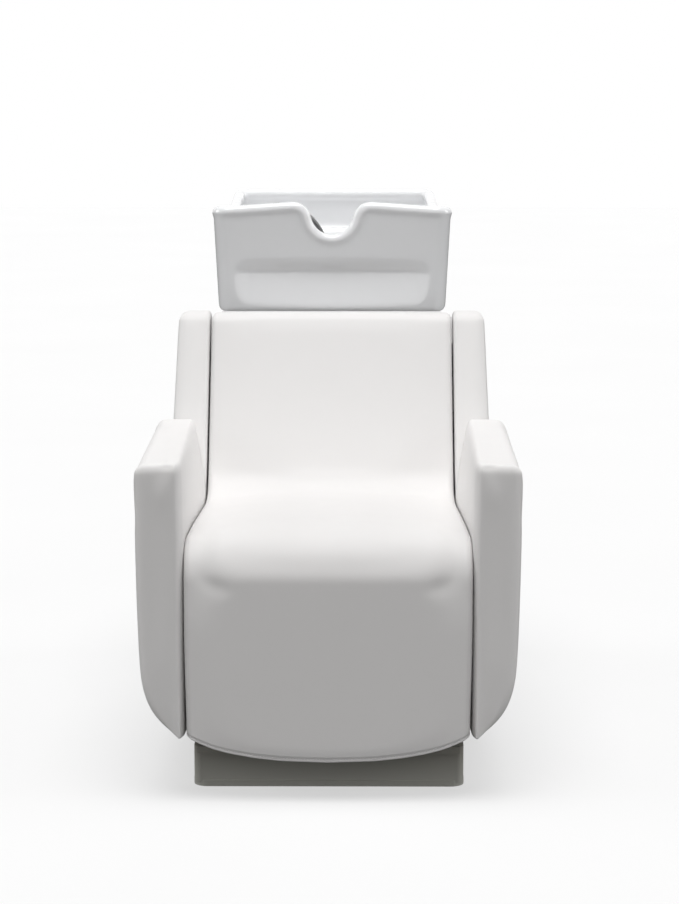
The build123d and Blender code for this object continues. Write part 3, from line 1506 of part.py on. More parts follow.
def shower_hose_points():
    """From the mixer's port down into the housing, up through the grommet and over the bowl to the nut."""
    tail_y = handle_tail_y + hose_nut_length
    port_y = mixer_y - shower_port_offset
    port_z = deck_z - deck_thickness - mixer_shank_length
    return [
        (mixer_x, port_y, port_z),
        (mixer_x, port_y, 806),
        (-177, 310, 728),
        (-176.5, 320, 640),
        (-176.5, 262, 606),
        (-176, 204, 640),
        (-176, 205, 730),
        (-176, 216, 810),
        (grommet_x, grommet_y, 880),
        (grommet_x, 230.5, 956.7),
        (-158.3, 230, 987.4),
        (-127.6, 230, 1005.1),
        (-91.5, 230, 1005),
        (-57.2, 230, 991.2),
        (-31, 230, 965),
        (-14.2, 231, 932),
        (-4, 236, 893),
        (4, 264, 865),
        (16, 305, 855),
        (34, 352, 854),
        (54, 404, 858),
        (66, 463, 871),
        (98, 496, 896),
        (143, 497, 942),
        (holder_x, 461, handle_z),
        (holder_x, tail_y, handle_z),
    ]


def supply_points(side):
    """One supply hose from its stop valve's top up to its port under the mixer."""
    port_x = mixer_x + side * supply_spread
    port_y = mixer_y + supply_setback
    port_z = deck_z - deck_thickness - mixer_shank_length
    valve_y = housing_rear_y - valve_inset
    start = (side * valve_x, valve_y, valve_z + valve_length / 2)
    if side < 0:
        middle = [(start[0], valve_y, 350), (-80, 440, 450), (-125, 405, 560), (-170, 365, 680)]
    else:
        middle = [(start[0], valve_y, 350), (30, 458, 450), (-25, 458, 545), (-95, 440, 640),
                  (-148, 390, 730)]
    return [start] + middle + [(port_x, port_y, 800), (port_x, port_y, port_z)]


def waste_points():
    """The waste hose from the basin's tailpiece down to the floor spigot."""
    tail_end = bowl_low_z - bowl_wall - gasket_height - nut_height - tail_wall - tail_length
    return [(0, drain_y, tail_end), (0, drain_y, 650), (-60, drain_y, 520), (-60, drain_y, 380),
            (0, drain_y, 250), (0, drain_y, floor_spigot_height)]


def make_hoses():
    """All the hoses."""
    save("shower_hose", hose_route(shower_hose_points(), hose_radius, "shower_hose"))
    save("hot_supply_hose", hose_route(supply_points(-1), supply_radius, "hot_supply_hose"))
    save("cold_supply_hose", hose_route(supply_points(1), supply_radius, "cold_supply_hose"))
    save("waste_hose", hose_route(waste_points(), waste_hose_radius, "waste_hose"))


# Stop valves and floor connections

def make_valves():
    """Pipe plate, stop valves with their inlet pipes, handles and the floor spigot."""
    slot_y = drain_y - pipe_slot_length / 2
    plate_low = rail_low_z
    plate_top = plate_low + valve_plate_thickness
    margin = plate_margin
    valve_y = housing_rear_y - valve_inset
    wide = pipe_slot_half_width + margin
    plate = block(-wide, wide, slot_y - margin, slot_y + pipe_slot_length + margin, plate_low, plate_top)
    back_y = valve_y - valve_radius - valve_plate_thickness
    upright = block(-valve_x - valve_radius, valve_x + valve_radius, back_y, back_y + valve_plate_thickness,
                    plate_low, valve_z + valve_length / 2)
    upright = upright - block(-waste_clear, waste_clear, back_y - overrun, back_y + overrun,
                              plate_top + margin, valve_z + overrun)
    plate = plate + upright
    plate = plate - rod(floor_spigot_radius + mesh_gap, (0, drain_y, 0),
                        (0, drain_y, plate_top + overrun / 2))
    spigot = tube(floor_spigot_radius, tail_radius - tail_wall, (0, drain_y, 0),
                  (0, drain_y, floor_spigot_height))
    save("floor_spigot", spigot)
    valves = []
    half = valve_length / 2
    for side, name in ((-1, "hot_valve_handle"), (1, "cold_valve_handle")):
        x = side * valve_x
        plate = plate - rod(inlet_radius + mesh_gap, (x, valve_y, 0),
                            (x, valve_y, plate_top + overrun / 2))
        body = rod(valve_radius, (x, valve_y, valve_z - half), (x, valve_y, valve_z + half))
        body = body + rod(inlet_radius, (x, valve_y, 0), (x, valve_y, valve_z - half))
        body = body + rod(stem_radius, (x, valve_y, valve_z),
                          (x, valve_y + valve_radius + stem_length, valve_z))
        valves.append(body)
        near = valve_y + valve_radius + stem_length - knob_height / 2
        knob = rod(knob_radius, (x, near, valve_z), (x, near + knob_height, valve_z))
        for index in range(knob_lobes):
            angle = 2 * math.pi * index / knob_lobes
            scallop_x = x + (knob_radius + scallop_offset) * math.cos(angle)
            scallop_z = valve_z + (knob_radius + scallop_offset) * math.sin(angle)
            knob = knob - rod(scallop_radius, (scallop_x, near - overrun, scallop_z),
                              (scallop_x, near + overrun, scallop_z))
        knob = knob - rod(stem_radius + mesh_gap, (x, near - overrun, valve_z),
                          (x, near + knob_height / 2 + mesh_gap, valve_z))
        save(name, knob)
    save("stop_valves", group(valves))
    save("pipe_plate", plate)


def main():
    """Build and write every piece."""
    os.makedirs("parts", exist_ok=True)
    make_ribbon()
    make_arms()
    make_wings()
    make_base()
    make_chassis()
    make_fasteners()
    make_housing()
    make_door()
    make_column()
    make_cradle()
    make_basin()
    make_drain()
    make_mixer()
    make_shower()
    make_hoses()
    make_valves()


main()
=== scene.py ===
"""Dresses the salon hair washing bed: upholstery, basin, plumbing and housing, on a pale studio floor."""
import logging
import math
from dataclasses import dataclass, field, replace
from enum import Enum
from typing import Callable, Iterable, Mapping, Sequence

import bmesh
import bpy
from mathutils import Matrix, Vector
from mathutils.bvhtree import BVHTree


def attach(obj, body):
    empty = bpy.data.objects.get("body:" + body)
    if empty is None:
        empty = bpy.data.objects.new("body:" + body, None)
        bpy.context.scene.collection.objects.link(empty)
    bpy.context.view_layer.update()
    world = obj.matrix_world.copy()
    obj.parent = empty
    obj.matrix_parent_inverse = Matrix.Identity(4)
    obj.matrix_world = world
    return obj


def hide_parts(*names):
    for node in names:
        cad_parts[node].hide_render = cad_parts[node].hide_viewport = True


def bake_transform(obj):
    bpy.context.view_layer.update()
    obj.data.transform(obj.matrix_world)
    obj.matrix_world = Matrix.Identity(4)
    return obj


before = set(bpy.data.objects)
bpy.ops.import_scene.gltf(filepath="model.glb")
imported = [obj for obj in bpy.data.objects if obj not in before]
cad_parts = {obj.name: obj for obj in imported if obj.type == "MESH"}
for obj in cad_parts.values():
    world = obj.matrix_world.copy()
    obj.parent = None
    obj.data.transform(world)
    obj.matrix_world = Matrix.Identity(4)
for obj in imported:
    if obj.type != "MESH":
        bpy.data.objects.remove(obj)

LOG = logging.getLogger("hair_washing_bed")
MM = 0.001
PHOTO_HEIGHT = 904
COVER_MAP = "cover"
WHITE = (1.0, 1.0, 1.0, 1.0)

Point = tuple[float, float, float]
Pair = tuple[float, float]
Colour = tuple[float, float, float, float]


def grey(value: float, warm: float = 0.0) -> Colour:
    """Returns a linear grey, made warmer by lowering green and blue a little."""
    return (value, value * (1 - warm), value * (1 - 1.6 * warm), 1.0)


def darker(colour: Colour, share: float) -> Colour:
    """Returns a share of a colour's light."""
    return tuple(share * part for part in colour[:3]) + (1.0,)


# Shader building

class Wiring:
    """A small helper that adds and joins nodes of one node tree."""

    MIX_FACTOR, MIX_LOW, MIX_HIGH, MIX_RESULT = 0, 6, 7, 2

    def __init__(self, tree: bpy.types.NodeTree) -> None:
        """Keeps the tree to work on."""
        self.tree = tree

    @classmethod
    def cleared(cls, owner: bpy.types.ID) -> "Wiring":
        """Switches on the nodes of a material or world and empties its tree.

        Args:
            owner: the material or world.

        Returns:
            The wiring of its tree.
        """
        owner.use_nodes = True
        owner.node_tree.nodes.clear()
        return cls(owner.node_tree)

    def fill(self, node: bpy.types.Node, feeds: Mapping[object, object]) -> None:
        """Feeds a node's inputs: a socket is linked, anything else is set on the input itself.

        Args:
            node: the node.
            feeds: the socket or value of each input, by its name or number.
        """
        for key, value in feeds.items():
            if isinstance(value, bpy.types.NodeSocket):
                self.tree.links.new(value, node.inputs[key])
            else:
                node.inputs[key].default_value = value

    def add(self, kind: str, feeds: Mapping[object, object] | None = None,
            **settings: object) -> bpy.types.Node:
        """Adds a node.

        Args:
            kind: the node's type name.
            feeds: the socket or value of each input, by its name or number.
            settings: properties of the node by name.

        Returns:
            The new node.
        """
        node = self.tree.nodes.new(kind)
        for name, value in settings.items():
            setattr(node, name, value)
        self.fill(node, feeds or {})
        return node

    def group(self, tree: bpy.types.NodeTree, feeds: Mapping[object, object]) -> bpy.types.NodeOutputs:
        """Adds a node group and returns its outputs."""
        return self.add("ShaderNodeGroup", feeds, node_tree=tree).outputs

    def math(self, operation: str, *values: object, clamp: bool = False) -> bpy.types.NodeSocket:
        """Adds a Math node.

        Args:
            operation: the node's operation.
            values: its numbers or sockets.
            clamp: whether the result is kept between 0 and 1.

        Returns:
            The node's output socket.
        """
        node = self.add("ShaderNodeMath", dict(enumerate(values)), operation=operation, use_clamp=clamp)
        return node.outputs[0]

    def blend_colours(self, factor: object, low: object, high: object) -> bpy.types.NodeSocket:
        """Mixes two colours by the share of the second one."""
        feeds = {self.MIX_FACTOR: factor, self.MIX_LOW: low, self.MIX_HIGH: high}
        return self.add("ShaderNodeMix", feeds, data_type="RGBA", clamp_factor=True).outputs[self.MIX_RESULT]

    def span(self, value: bpy.types.NodeSocket, source: Pair, target: Pair) -> bpy.types.NodeSocket:
        """Maps a value from one range to another, clamped."""
        feeds = {"Value": value, "From Min": source[0], "From Max": source[1], "To Min": target[0],
                 "To Max": target[1]}
        return self.add("ShaderNodeMapRange", feeds, clamp=True).outputs["Result"]

    def noise(self, place: bpy.types.NodeSocket, scale: object, detail: float) -> bpy.types.NodeSocket:
        """Adds cloudy noise and returns its value."""
        feeds = {"Vector": place, "Scale": scale, "Detail": detail}
        return self.add("ShaderNodeTexNoise", feeds).outputs["Fac"]

    def bump(self, feeds: Mapping[object, object], invert: bool = False) -> bpy.types.NodeSocket:
        """Adds a Bump node and returns its normal."""
        return self.add("ShaderNodeBump", feeds, invert=invert).outputs["Normal"]


def shader_group(name: str, inputs: Sequence[tuple[str, str, object]],
                 outputs: Sequence[tuple[str, str]]) -> tuple[Wiring, bpy.types.NodeOutputs, bpy.types.Node]:
    """Starts a shader node group.

    Args:
        name: the group's name.
        inputs: name, socket type and default of each input.
        outputs: name and socket type of each output.

    Returns:
        The group's wiring, what it is given, and its output node.
    """
    tree = bpy.data.node_groups.new(name, "ShaderNodeTree")
    for label, kind, default in inputs:
        tree.interface.new_socket(name=label, in_out="INPUT", socket_type=kind).default_value = default
    for label, kind in outputs:
        tree.interface.new_socket(name=label, in_out="OUTPUT", socket_type=kind)
    wiring = Wiring(tree)
    return wiring, wiring.add("NodeGroupInput").outputs, wiring.add("NodeGroupOutput")


FLOAT = "NodeSocketFloat"
COLOUR = "NodeSocketColor"
VECTOR = "NodeSocketVector"


class EffectLibrary:
    """The surface effects that several finishes share, as node groups."""

    def __init__(self) -> None:
        """Builds every group once."""
        self.mottle = self._mottle()
        self.grain = self._grain()
        self.streaks = self._streaks()
        self.seams = self._seams()
        self.timber = self._timber()
        self.braid = self._braid()

    @staticmethod
    def _mottle() -> bpy.types.NodeTree:
        """Builds the soft variation of colour and roughness that handling and cleaning leave.

        Returns:
            The group's tree.
        """
        w, given, sink = shader_group(
            "soft_mottle",
            [("Vector", VECTOR, (0, 0, 0)), ("Colour", COLOUR, (0.8, 0.8, 0.8, 1)), ("Scale", FLOAT, 6.0),
             ("Amount", FLOAT, 0.03), ("Roughness", FLOAT, 0.4), ("Roughness spread", FLOAT, 0.05)],
            [("Colour", COLOUR), ("Roughness", FLOAT)])
        broad = w.noise(given["Vector"], given["Scale"], 3.0)
        gain = w.math("MULTIPLY_ADD", w.math("SUBTRACT", broad, 0.5), given["Amount"], 1.0)
        tint = w.add("ShaderNodeVectorMath", {0: given["Colour"], "Scale": gain}, operation="SCALE")
        fine = w.noise(given["Vector"], w.math("MULTIPLY", given["Scale"], 3.7), 4.0)
        swing = w.math("MULTIPLY", w.math("SUBTRACT", fine, 0.5), given["Roughness spread"])
        w.fill(sink, {"Colour": tint.outputs[0],
                      "Roughness": w.math("ADD", given["Roughness"], swing, clamp=True)})
        return w.tree

    @staticmethod
    def _grain() -> bpy.types.NodeTree:
        """Builds the pebbled height of coated cloth, powder coat or moulded plastic.

        Returns:
            The group's tree.
        """
        w, given, sink = shader_group(
            "pebble_grain",
            [("Vector", VECTOR, (0, 0, 0)), ("Scale", FLOAT, 700.0), ("Softness", FLOAT, 0.5)],
            [("Height", FLOAT)])
        feeds = {"Vector": given["Vector"], "Scale": given["Scale"], "Smoothness": given["Softness"]}
        cells = w.add("ShaderNodeTexVoronoi", feeds, feature="SMOOTH_F1").outputs["Distance"]
        cloud = w.noise(given["Vector"], w.math("MULTIPLY", given["Scale"], 0.45), 2.0)
        w.fill(sink, {"Height": w.math("ADD", cells, w.math("MULTIPLY", cloud, 0.6))})
        return w.tree

    @staticmethod
    def _streaks() -> bpy.types.NodeTree:
        """Builds fine drawn-out lines, as brushing, wiping or turning leaves them.

        Returns:
            The group's tree.
        """
        w, given, sink = shader_group(
            "wiped_streaks",
            [("Vector", VECTOR, (0, 0, 0)), ("Scale", FLOAT, 60.0), ("Stretch", VECTOR, (1, 1, 0.05))],
            [("Value", FLOAT)])
        drawn = w.add("ShaderNodeVectorMath", {0: given["Vector"], 1: given["Stretch"]}, operation="MULTIPLY")
        w.fill(sink, {"Value": w.noise(drawn.outputs[0], given["Scale"], 5.0)})
        return w.tree

    @staticmethod
    def _seams() -> bpy.types.NodeTree:
        """Builds sewn lines at two distances from the cover's edges, from its UV map in metres.

        Returns:
            The group's tree.
        """
        w, given, sink = shader_group(
            "sewn_lines",
            [("Side distance", FLOAT, 0.01), ("End distance", FLOAT, 0.01), ("Side share", FLOAT, 0.4),
             ("Width", FLOAT, 0.0012)],
            [("Line", FLOAT), ("Dip", FLOAT)])
        place = w.add("ShaderNodeUVMap", uv_map=COVER_MAP).outputs["UV"]
        split = w.add("ShaderNodeSeparateXYZ", {0: place}).outputs
        lines: list[bpy.types.NodeSocket] = []
        dips: list[bpy.types.NodeSocket] = []
        for axis, name, share in (("X", "Side distance", given["Side share"]), ("Y", "End distance", 1.0)):
            away = w.math("ABSOLUTE", w.math("SUBTRACT", split[axis], given[name]))
            near = w.math("DIVIDE", away, given["Width"])
            lines.append(w.math("MULTIPLY", w.math("SUBTRACT", 1.0, near, clamp=True), share))
            wide = w.math("SUBTRACT", 1.0, w.math("MULTIPLY", near, 0.25), clamp=True)
            dips.append(w.math("MULTIPLY", wide, share))
        w.fill(sink, {"Line": w.math("MAXIMUM", *lines), "Dip": w.math("MAXIMUM", *dips)})
        return w.tree

    @staticmethod
    def _timber() -> bpy.types.NodeTree:
        """Builds plywood's layers and grain.

        Returns:
            The group's tree.
        """
        w, given, sink = shader_group(
            "timber_layers",
            [("Vector", VECTOR, (0, 0, 0)), ("Light", COLOUR, (0.6, 0.45, 0.3, 1)),
             ("Dark", COLOUR, (0.35, 0.22, 0.12, 1)), ("Scale", FLOAT, 30.0)],
            [("Colour", COLOUR), ("Height", FLOAT)])
        feeds = {"Vector": given["Vector"], "Scale": given["Scale"], "Distortion": 6.0, "Detail": 3.0,
                 "Detail Scale": 1.5}
        rings = w.add("ShaderNodeTexWave", feeds, wave_type="BANDS",
                      bands_direction="DIAGONAL").outputs["Fac"]
        w.fill(sink, {"Colour": w.blend_colours(rings, given["Light"], given["Dark"]), "Height": rings})
        return w.tree

    @staticmethod
    def _braid() -> bpy.types.NodeTree:
        """Builds a crossed braid round a hose, from its UV map.

        Returns:
            The group's tree.
        """
        w, given, sink = shader_group("wire_braid", [("Pitch", FLOAT, 0.006)], [("Height", FLOAT)])
        place = w.add("ShaderNodeUVMap", uv_map=COVER_MAP).outputs["UV"]
        split = w.add("ShaderNodeSeparateXYZ", {0: place}).outputs
        run = w.math("DIVIDE", split["Y"], given["Pitch"])
        strands = []
        for turns in (4.0, -4.0):
            slant = w.math("ADD", run, w.math("MULTIPLY", split["X"], turns))
            strands.append(w.math("SINE", w.math("MULTIPLY", slant, math.tau)))
        w.fill(sink, {"Height": w.math("MAXIMUM", *strands)})
        return w.tree


class Effect(Enum):
    """How a finish's surface is worked."""

    VINYL = "vinyl"
    GLAZE = "glaze"
    POLISHED = "polished"
    BRUSHED = "brushed"
    COATED = "coated"
    LAMINATE = "laminate"
    TIMBER = "timber"
    BRAIDED = "braided"


GRAIN_DEPTH = 0.0006
ROUGHNESS_SPREAD = 0.35
COAT_ROUGHNESS = 0.05
SHEEN_ROUGHNESS = 0.5
TIMBER_DARK = 0.55
# Painted floor bounce light: the pale colour blended in towards the floor, and its largest share.
PAINTED_BOUNCE_COLOUR = (0.60, 0.60, 0.55, 1)
PAINTED_BOUNCE_SHARE = 0.8
SEAM_SIDE_SHARE = 0.25
SEAM_STRENGTH = 0.8
SEAM_DEPTH = 0.0012
SEAM_SHADE = 0.35
SEAM_DARK = 0.35
BRUSH_STRETCH = (1, 1, 0.06)


@dataclass(frozen=True)
class Finish:
    """One material: its colour, gloss and worked surface.

    Attributes:
        name: the material's name.
        colour: the base colour, linear.
        roughness: the middle roughness.
        effect: how the surface is worked.
        metallic: 1 for bare metal.
        grain: grain cells or lines in a metre.
        relief: the bump's strength.
        mottle: how much the colour varies.
        coat: weight of a clear coat.
        sheen: weight of soft sheen.
        specular: specular level.
        seam: distance of sewn lines from the edges, in metres, or nothing.
        dust: height above the floor up to which painted floor bounce light lightens it, in metres, or
            nothing.
    """

    name: str
    colour: Colour
    roughness: float
    effect: Effect
    metallic: float = 0.0
    grain: float = 600.0
    relief: float = 0.1
    mottle: float = 0.03
    coat: float = 0.0
    sheen: float = 0.0
    specular: float = 0.5
    seam: float = 0.0
    dust: float = 0.0

    def build(self, effects: EffectLibrary) -> bpy.types.Material:
        """Makes the material.

        Args:
            effects: the shared node groups.

        Returns:
            The finished material.
        """
        material = bpy.data.materials.new(self.name)
        w = Wiring.cleared(material)
        place = w.add("ShaderNodeTexCoord").outputs["Object"]
        spread = ROUGHNESS_SPREAD * self.roughness
        varied = w.group(effects.mottle, {"Vector": place, "Colour": self.colour, "Amount": self.mottle,
                                          "Roughness": self.roughness, "Roughness spread": spread})
        colour = varied["Colour"]
        if self.effect is Effect.TIMBER:
            timber = w.group(effects.timber, {"Vector": place, "Light": colour, "Scale": self.grain,
                                              "Dark": darker(self.colour, TIMBER_DARK)})
            colour, height = timber["Colour"], timber["Height"]
        else:
            height = self._height(w, effects, place)
        # Painted floor bounce light: the colour grows paler towards the floor, up to this height.
        if self.dust > 0:
            rise = w.add("ShaderNodeSeparateXYZ", {0: place}).outputs["Z"]
            colour = w.blend_colours(w.span(rise, (self.dust, 0.0), (0.0, PAINTED_BOUNCE_SHARE)), colour, PAINTED_BOUNCE_COLOUR)
        normal = w.bump({"Strength": self.relief, "Distance": GRAIN_DEPTH, "Height": height})
        if self.seam > 0:
            sewn = w.group(effects.seams, {"Side distance": self.seam, "End distance": self.seam,
                                           "Side share": SEAM_SIDE_SHARE})
            normal = w.bump({"Strength": SEAM_STRENGTH, "Distance": SEAM_DEPTH, "Height": sewn["Dip"],
                             "Normal": normal}, invert=True)
            shade = w.math("MULTIPLY", sewn["Line"], SEAM_SHADE)
            colour = w.blend_colours(shade, colour, darker(self.colour, SEAM_DARK))
        body = w.add("ShaderNodeBsdfPrincipled", {
            "Base Color": colour, "Roughness": varied["Roughness"], "Normal": normal,
            "Metallic": self.metallic, "Specular IOR Level": self.specular, "Coat Weight": self.coat,
            "Coat Roughness": COAT_ROUGHNESS, "Sheen Weight": self.sheen, "Sheen Roughness": SHEEN_ROUGHNESS})
        w.add("ShaderNodeOutputMaterial", {"Surface": body.outputs[0]})
        return material

    def _height(self, w: Wiring, effects: EffectLibrary, place: bpy.types.NodeSocket) -> bpy.types.NodeSocket:
        """Adds the effect's height.

        Args:
            w: the material's wiring.
            effects: the shared node groups.
            place: the Object coordinates.

        Returns:
            The height's socket.
        """
        if self.effect is Effect.BRAIDED:
            return w.group(effects.braid, {})["Height"]
        if self.effect in (Effect.BRUSHED, Effect.POLISHED, Effect.GLAZE):
            stretch = BRUSH_STRETCH if self.effect is Effect.BRUSHED else (1, 1, 1)
            return w.group(effects.streaks, {"Vector": place, "Scale": self.grain,
                                             "Stretch": stretch})["Value"]
        return w.group(effects.grain, {"Vector": place, "Scale": self.grain})["Height"]


COVER_VINYL = Finish("cover_vinyl", grey(0.75, 0.016), 0.52, Effect.VINYL, grain=620, relief=0.10,
                     mottle=0.025, sheen=0.05, specular=0.20)


@dataclass
class Palette:
    """Every finish of the bed, built once.

    Attributes:
        effects: the shared node groups.
        made: the materials by name.
    """

    effects: EffectLibrary = field(default_factory=EffectLibrary)
    made: dict[str, bpy.types.Material] = field(default_factory=dict)

    FINISHES = (
        COVER_VINYL,
        replace(COVER_VINYL, name="ribbon_vinyl", seam=0.007),
        Finish("stitch_thread", grey(0.72, 0.02), 0.6, Effect.COATED, grain=2500, relief=0.4, mottle=0.08),
        Finish("basin_glaze", (0.84, 0.845, 0.855, 1), 0.07, Effect.GLAZE, grain=9, relief=0.04, mottle=0.015,
               coat=0.6),
        Finish("polished_chrome", grey(0.78), 0.07, Effect.POLISHED, metallic=1, grain=40, relief=0.03,
               mottle=0.05),
        Finish("hose_chrome", grey(0.14), 0.25, Effect.POLISHED, metallic=1, grain=300, relief=0.08,
               mottle=0.1),
        Finish("zinc_steel", grey(0.56), 0.34, Effect.BRUSHED, metallic=1, grain=500, relief=0.15,
               mottle=0.12),
        Finish("ground_steel", grey(0.62), 0.22, Effect.BRUSHED, metallic=1, grain=900, relief=0.1,
               mottle=0.06),
        Finish("satin_aluminium", grey(0.66), 0.30, Effect.BRUSHED, metallic=1, grain=700, relief=0.1,
               mottle=0.05),
        Finish("turned_brass", (0.62, 0.46, 0.20, 1), 0.30, Effect.BRUSHED, metallic=1, grain=600,
               relief=0.12, mottle=0.12),
        Finish("braided_steel", grey(0.52), 0.32, Effect.BRAIDED, metallic=1, relief=0.9, mottle=0.1),
        Finish("black_powder_coat", grey(0.022), 0.5, Effect.COATED, grain=900, relief=0.25, mottle=0.2),
        Finish("white_powder_coat", grey(0.72, 0.006), 0.42, Effect.COATED, grain=900, relief=0.2,
               mottle=0.04),
        Finish("grey_paint", grey(0.28), 0.45, Effect.COATED, grain=700, relief=0.2, mottle=0.1),
        Finish("recess_laminate", (0.26, 0.25, 0.22, 1), 0.6, Effect.LAMINATE, grain=1100, relief=0.12,
               mottle=0.1,
               dust=0.07),
        Finish("pale_laminate", grey(0.66, 0.008), 0.42, Effect.LAMINATE, grain=1000, relief=0.10,
               mottle=0.04),
        Finish("white_moulding", grey(0.74, 0.005), 0.30, Effect.COATED, grain=500, relief=0.08, mottle=0.03),
        Finish("birch_plywood", (0.52, 0.36, 0.21, 1), 0.62, Effect.TIMBER, grain=28, relief=0.2, mottle=0.2),
        Finish("black_rubber", grey(0.02), 0.75, Effect.COATED, grain=800, relief=0.3, mottle=0.3),
        Finish("dark_acetal", grey(0.05), 0.4, Effect.COATED, grain=900, relief=0.1, mottle=0.15),
        Finish("grey_pipe", grey(0.16), 0.42, Effect.COATED, grain=600, relief=0.12, mottle=0.12),
        Finish("hot_handle_red", (0.42, 0.025, 0.02, 1), 0.34, Effect.COATED, grain=700, relief=0.12,
               mottle=0.1),
        Finish("cold_handle_blue", (0.02, 0.07, 0.36, 1), 0.34, Effect.COATED, grain=700, relief=0.12,
               mottle=0.1),
    )

    NODE_FINISHES = {
        "cover_vinyl": ("left_arm_cover", "right_arm_cover", "left_wing_cover", "right_wing_cover",
                        "seat_pad"),
        "basin_glaze": ("basin",),
        "polished_chrome": ("drain_flange", "drain_tail_nut", "hair_strainer", "mixer_body", "mixer_cap",
                            "mixer_lever",
                            "hose_grommet", "shower_holder", "hose_nut", "shower_handle"),
        "hose_chrome": ("shower_hose",),
        "zinc_steel": ("arm_bolts", "wing_bolts", "shell_screws", "column_bolts", "basin_bolts",
                       "hinge_fixed_leaves",
                       "hinge_moving_leaves", "strike_plate"),
        "ground_steel": ("pivot_pin",),
        "satin_aluminium": ("door_pull",),
        "turned_brass": ("stop_valves", "mixer_nut"),
        "braided_steel": ("hot_supply_hose", "cold_supply_hose"),
        "black_powder_coat": ("chassis", "base_plate"),
        "white_powder_coat": ("basin_column", "pivot_bracket", "cradle"),
        "grey_paint": ("pipe_plate",),
        "recess_laminate": ("plinth", "floor_board"),
        "pale_laminate": ("seat_shell", "left_side_panel", "right_side_panel", "rear_frame", "top_panel",
                          "service_door"),
        "white_moulding": ("collar",),
        "birch_plywood": ("left_arm_core", "right_arm_core", "left_wing_core", "right_wing_core"),
        "black_rubber": ("floor_pads", "cradle_pads", "drain_gasket"),
        "dark_acetal": ("pivot_bushes", "magnet_catch", "spray_face"),
        "grey_pipe": ("floor_spigot", "waste_hose"),
        "hot_handle_red": ("hot_valve_handle",),
        "cold_handle_blue": ("cold_valve_handle",),
    }

    def build(self) -> None:
        """Makes every material and gives the CAD nodes theirs."""
        for finish in self.FINISHES:
            self.made[finish.name] = finish.build(self.effects)
        for finish, nodes in self.NODE_FINISHES.items():
            for node in nodes:
                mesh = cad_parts[node].data
                mesh.materials.clear()
                mesh.materials.append(self.made[finish])

    def __getitem__(self, name: str) -> bpy.types.Material:
        """Returns a material by its finish's name."""
        return self.made[name]


# Mesh helpers

def new_object(name: str, mesh: bpy.types.Mesh) -> bpy.types.Object:
    """Puts a mesh into the scene as an object at the origin.

    Args:
        name: the object's name.
        mesh: its mesh.

    Returns:
        The new object.
    """
    obj = bpy.data.objects.new(name, mesh)
    bpy.context.scene.collection.objects.link(obj)
    return obj


def new_mesh(name: str, points: Sequence[Sequence[float]], faces: Sequence[Sequence[int]]) -> bpy.types.Mesh:
    """Makes a mesh from points in metres and faces.

    Args:
        name: the mesh's name.
        points: its points, in metres.
        faces: each face's points by their numbers.

    Returns:
        The new mesh.
    """
    mesh = bpy.data.meshes.new(name)
    mesh.from_pydata(points, [], faces)
    return mesh


def rework(mesh: bpy.types.Mesh, work: Callable[[bmesh.types.BMesh], object]) -> None:
    """Runs a bmesh operation on a mesh and keeps the result.

    Args:
        mesh: the mesh.
        work: the operation.
    """
    shell = bmesh.new()
    shell.from_mesh(mesh)
    work(shell)
    shell.to_mesh(mesh)
    shell.free()


def face_outwards(shell: bmesh.types.BMesh) -> None:
    """Turns every face of a closed shell outwards."""
    bmesh.ops.recalc_face_normals(shell, faces=shell.faces)


def settle_modifiers(obj: bpy.types.Object) -> None:
    """Turns an object's modifiers into plain mesh.

    Args:
        obj: the piece.
    """
    graph = bpy.context.evaluated_depsgraph_get()
    graph.update()
    mesh = bpy.data.meshes.new_from_object(obj.evaluated_get(graph), preserve_all_data_layers=True,
                                           depsgraph=graph)
    old = obj.data
    obj.modifiers.clear()
    obj.data = mesh
    mesh.name = obj.name
    if old.users == 0:
        bpy.data.meshes.remove(old)


def smooth(obj: bpy.types.Object) -> None:
    """Shades every face smoothly."""
    obj.data.polygons.foreach_set("use_smooth", [True] * len(obj.data.polygons))


def mixed(low: float, high: float, share: float) -> float:
    """Returns the value at a share of the way from low to high."""
    return low + (high - low) * share


def eased(share: float) -> float:
    """Returns a share kept between 0 and 1 and eased at both ends."""
    share = min(max(share, 0.0), 1.0)
    return share * share * (3 - 2 * share)


def along(points: Sequence[Sequence[float]], share: float) -> list[float]:
    """Finds the place at a share of a line's length.

    Args:
        points: the line's corners.
        share: from 0 at the first to 1 at the last.

    Returns:
        The interpolated place.
    """
    lengths = [math.dist(a, b) for a, b in zip(points, points[1:])]
    left = share * sum(lengths)
    for index, length in enumerate(lengths):
        if left <= length or index == len(lengths) - 1:
            part = left / length
            return [mixed(a, b, part) for a, b in zip(points[index], points[index + 1])]
        left -= length
    return list(points[-1])


def rounded_line(points: Sequence[Pair], rounds: int = 3) -> list[Pair]:
    """Cuts a line's corners again and again until it is smooth, keeping its ends.

    Args:
        points: the line's corners.
        rounds: how often the corners are cut.

    Returns:
        The smoothed line.
    """
    line = list(points)
    for _ in range(rounds):
        cut = [line[0]]
        for a, b in zip(line, line[1:]):
            cut.append((mixed(a[0], b[0], 0.25), mixed(a[1], b[1], 0.25)))
            cut.append((mixed(a[0], b[0], 0.75), mixed(a[1], b[1], 0.75)))
        cut.append(line[-1])
        line = cut
    return line


def curve_value(table: Sequence[Pair], place: float) -> float:
    """Reads a table of (place, value) with straight runs between its rows.

    Args:
        table: its rows, in rising order of place.
        place: where to read it.

    Returns:
        The value there, or the nearest end's.
    """
    if place <= table[0][0]:
        return table[0][1]
    for (a, low), (b, high) in zip(table, table[1:]):
        if place <= b:
            return mixed(low, high, (place - a) / (b - a))
    return table[-1][1]


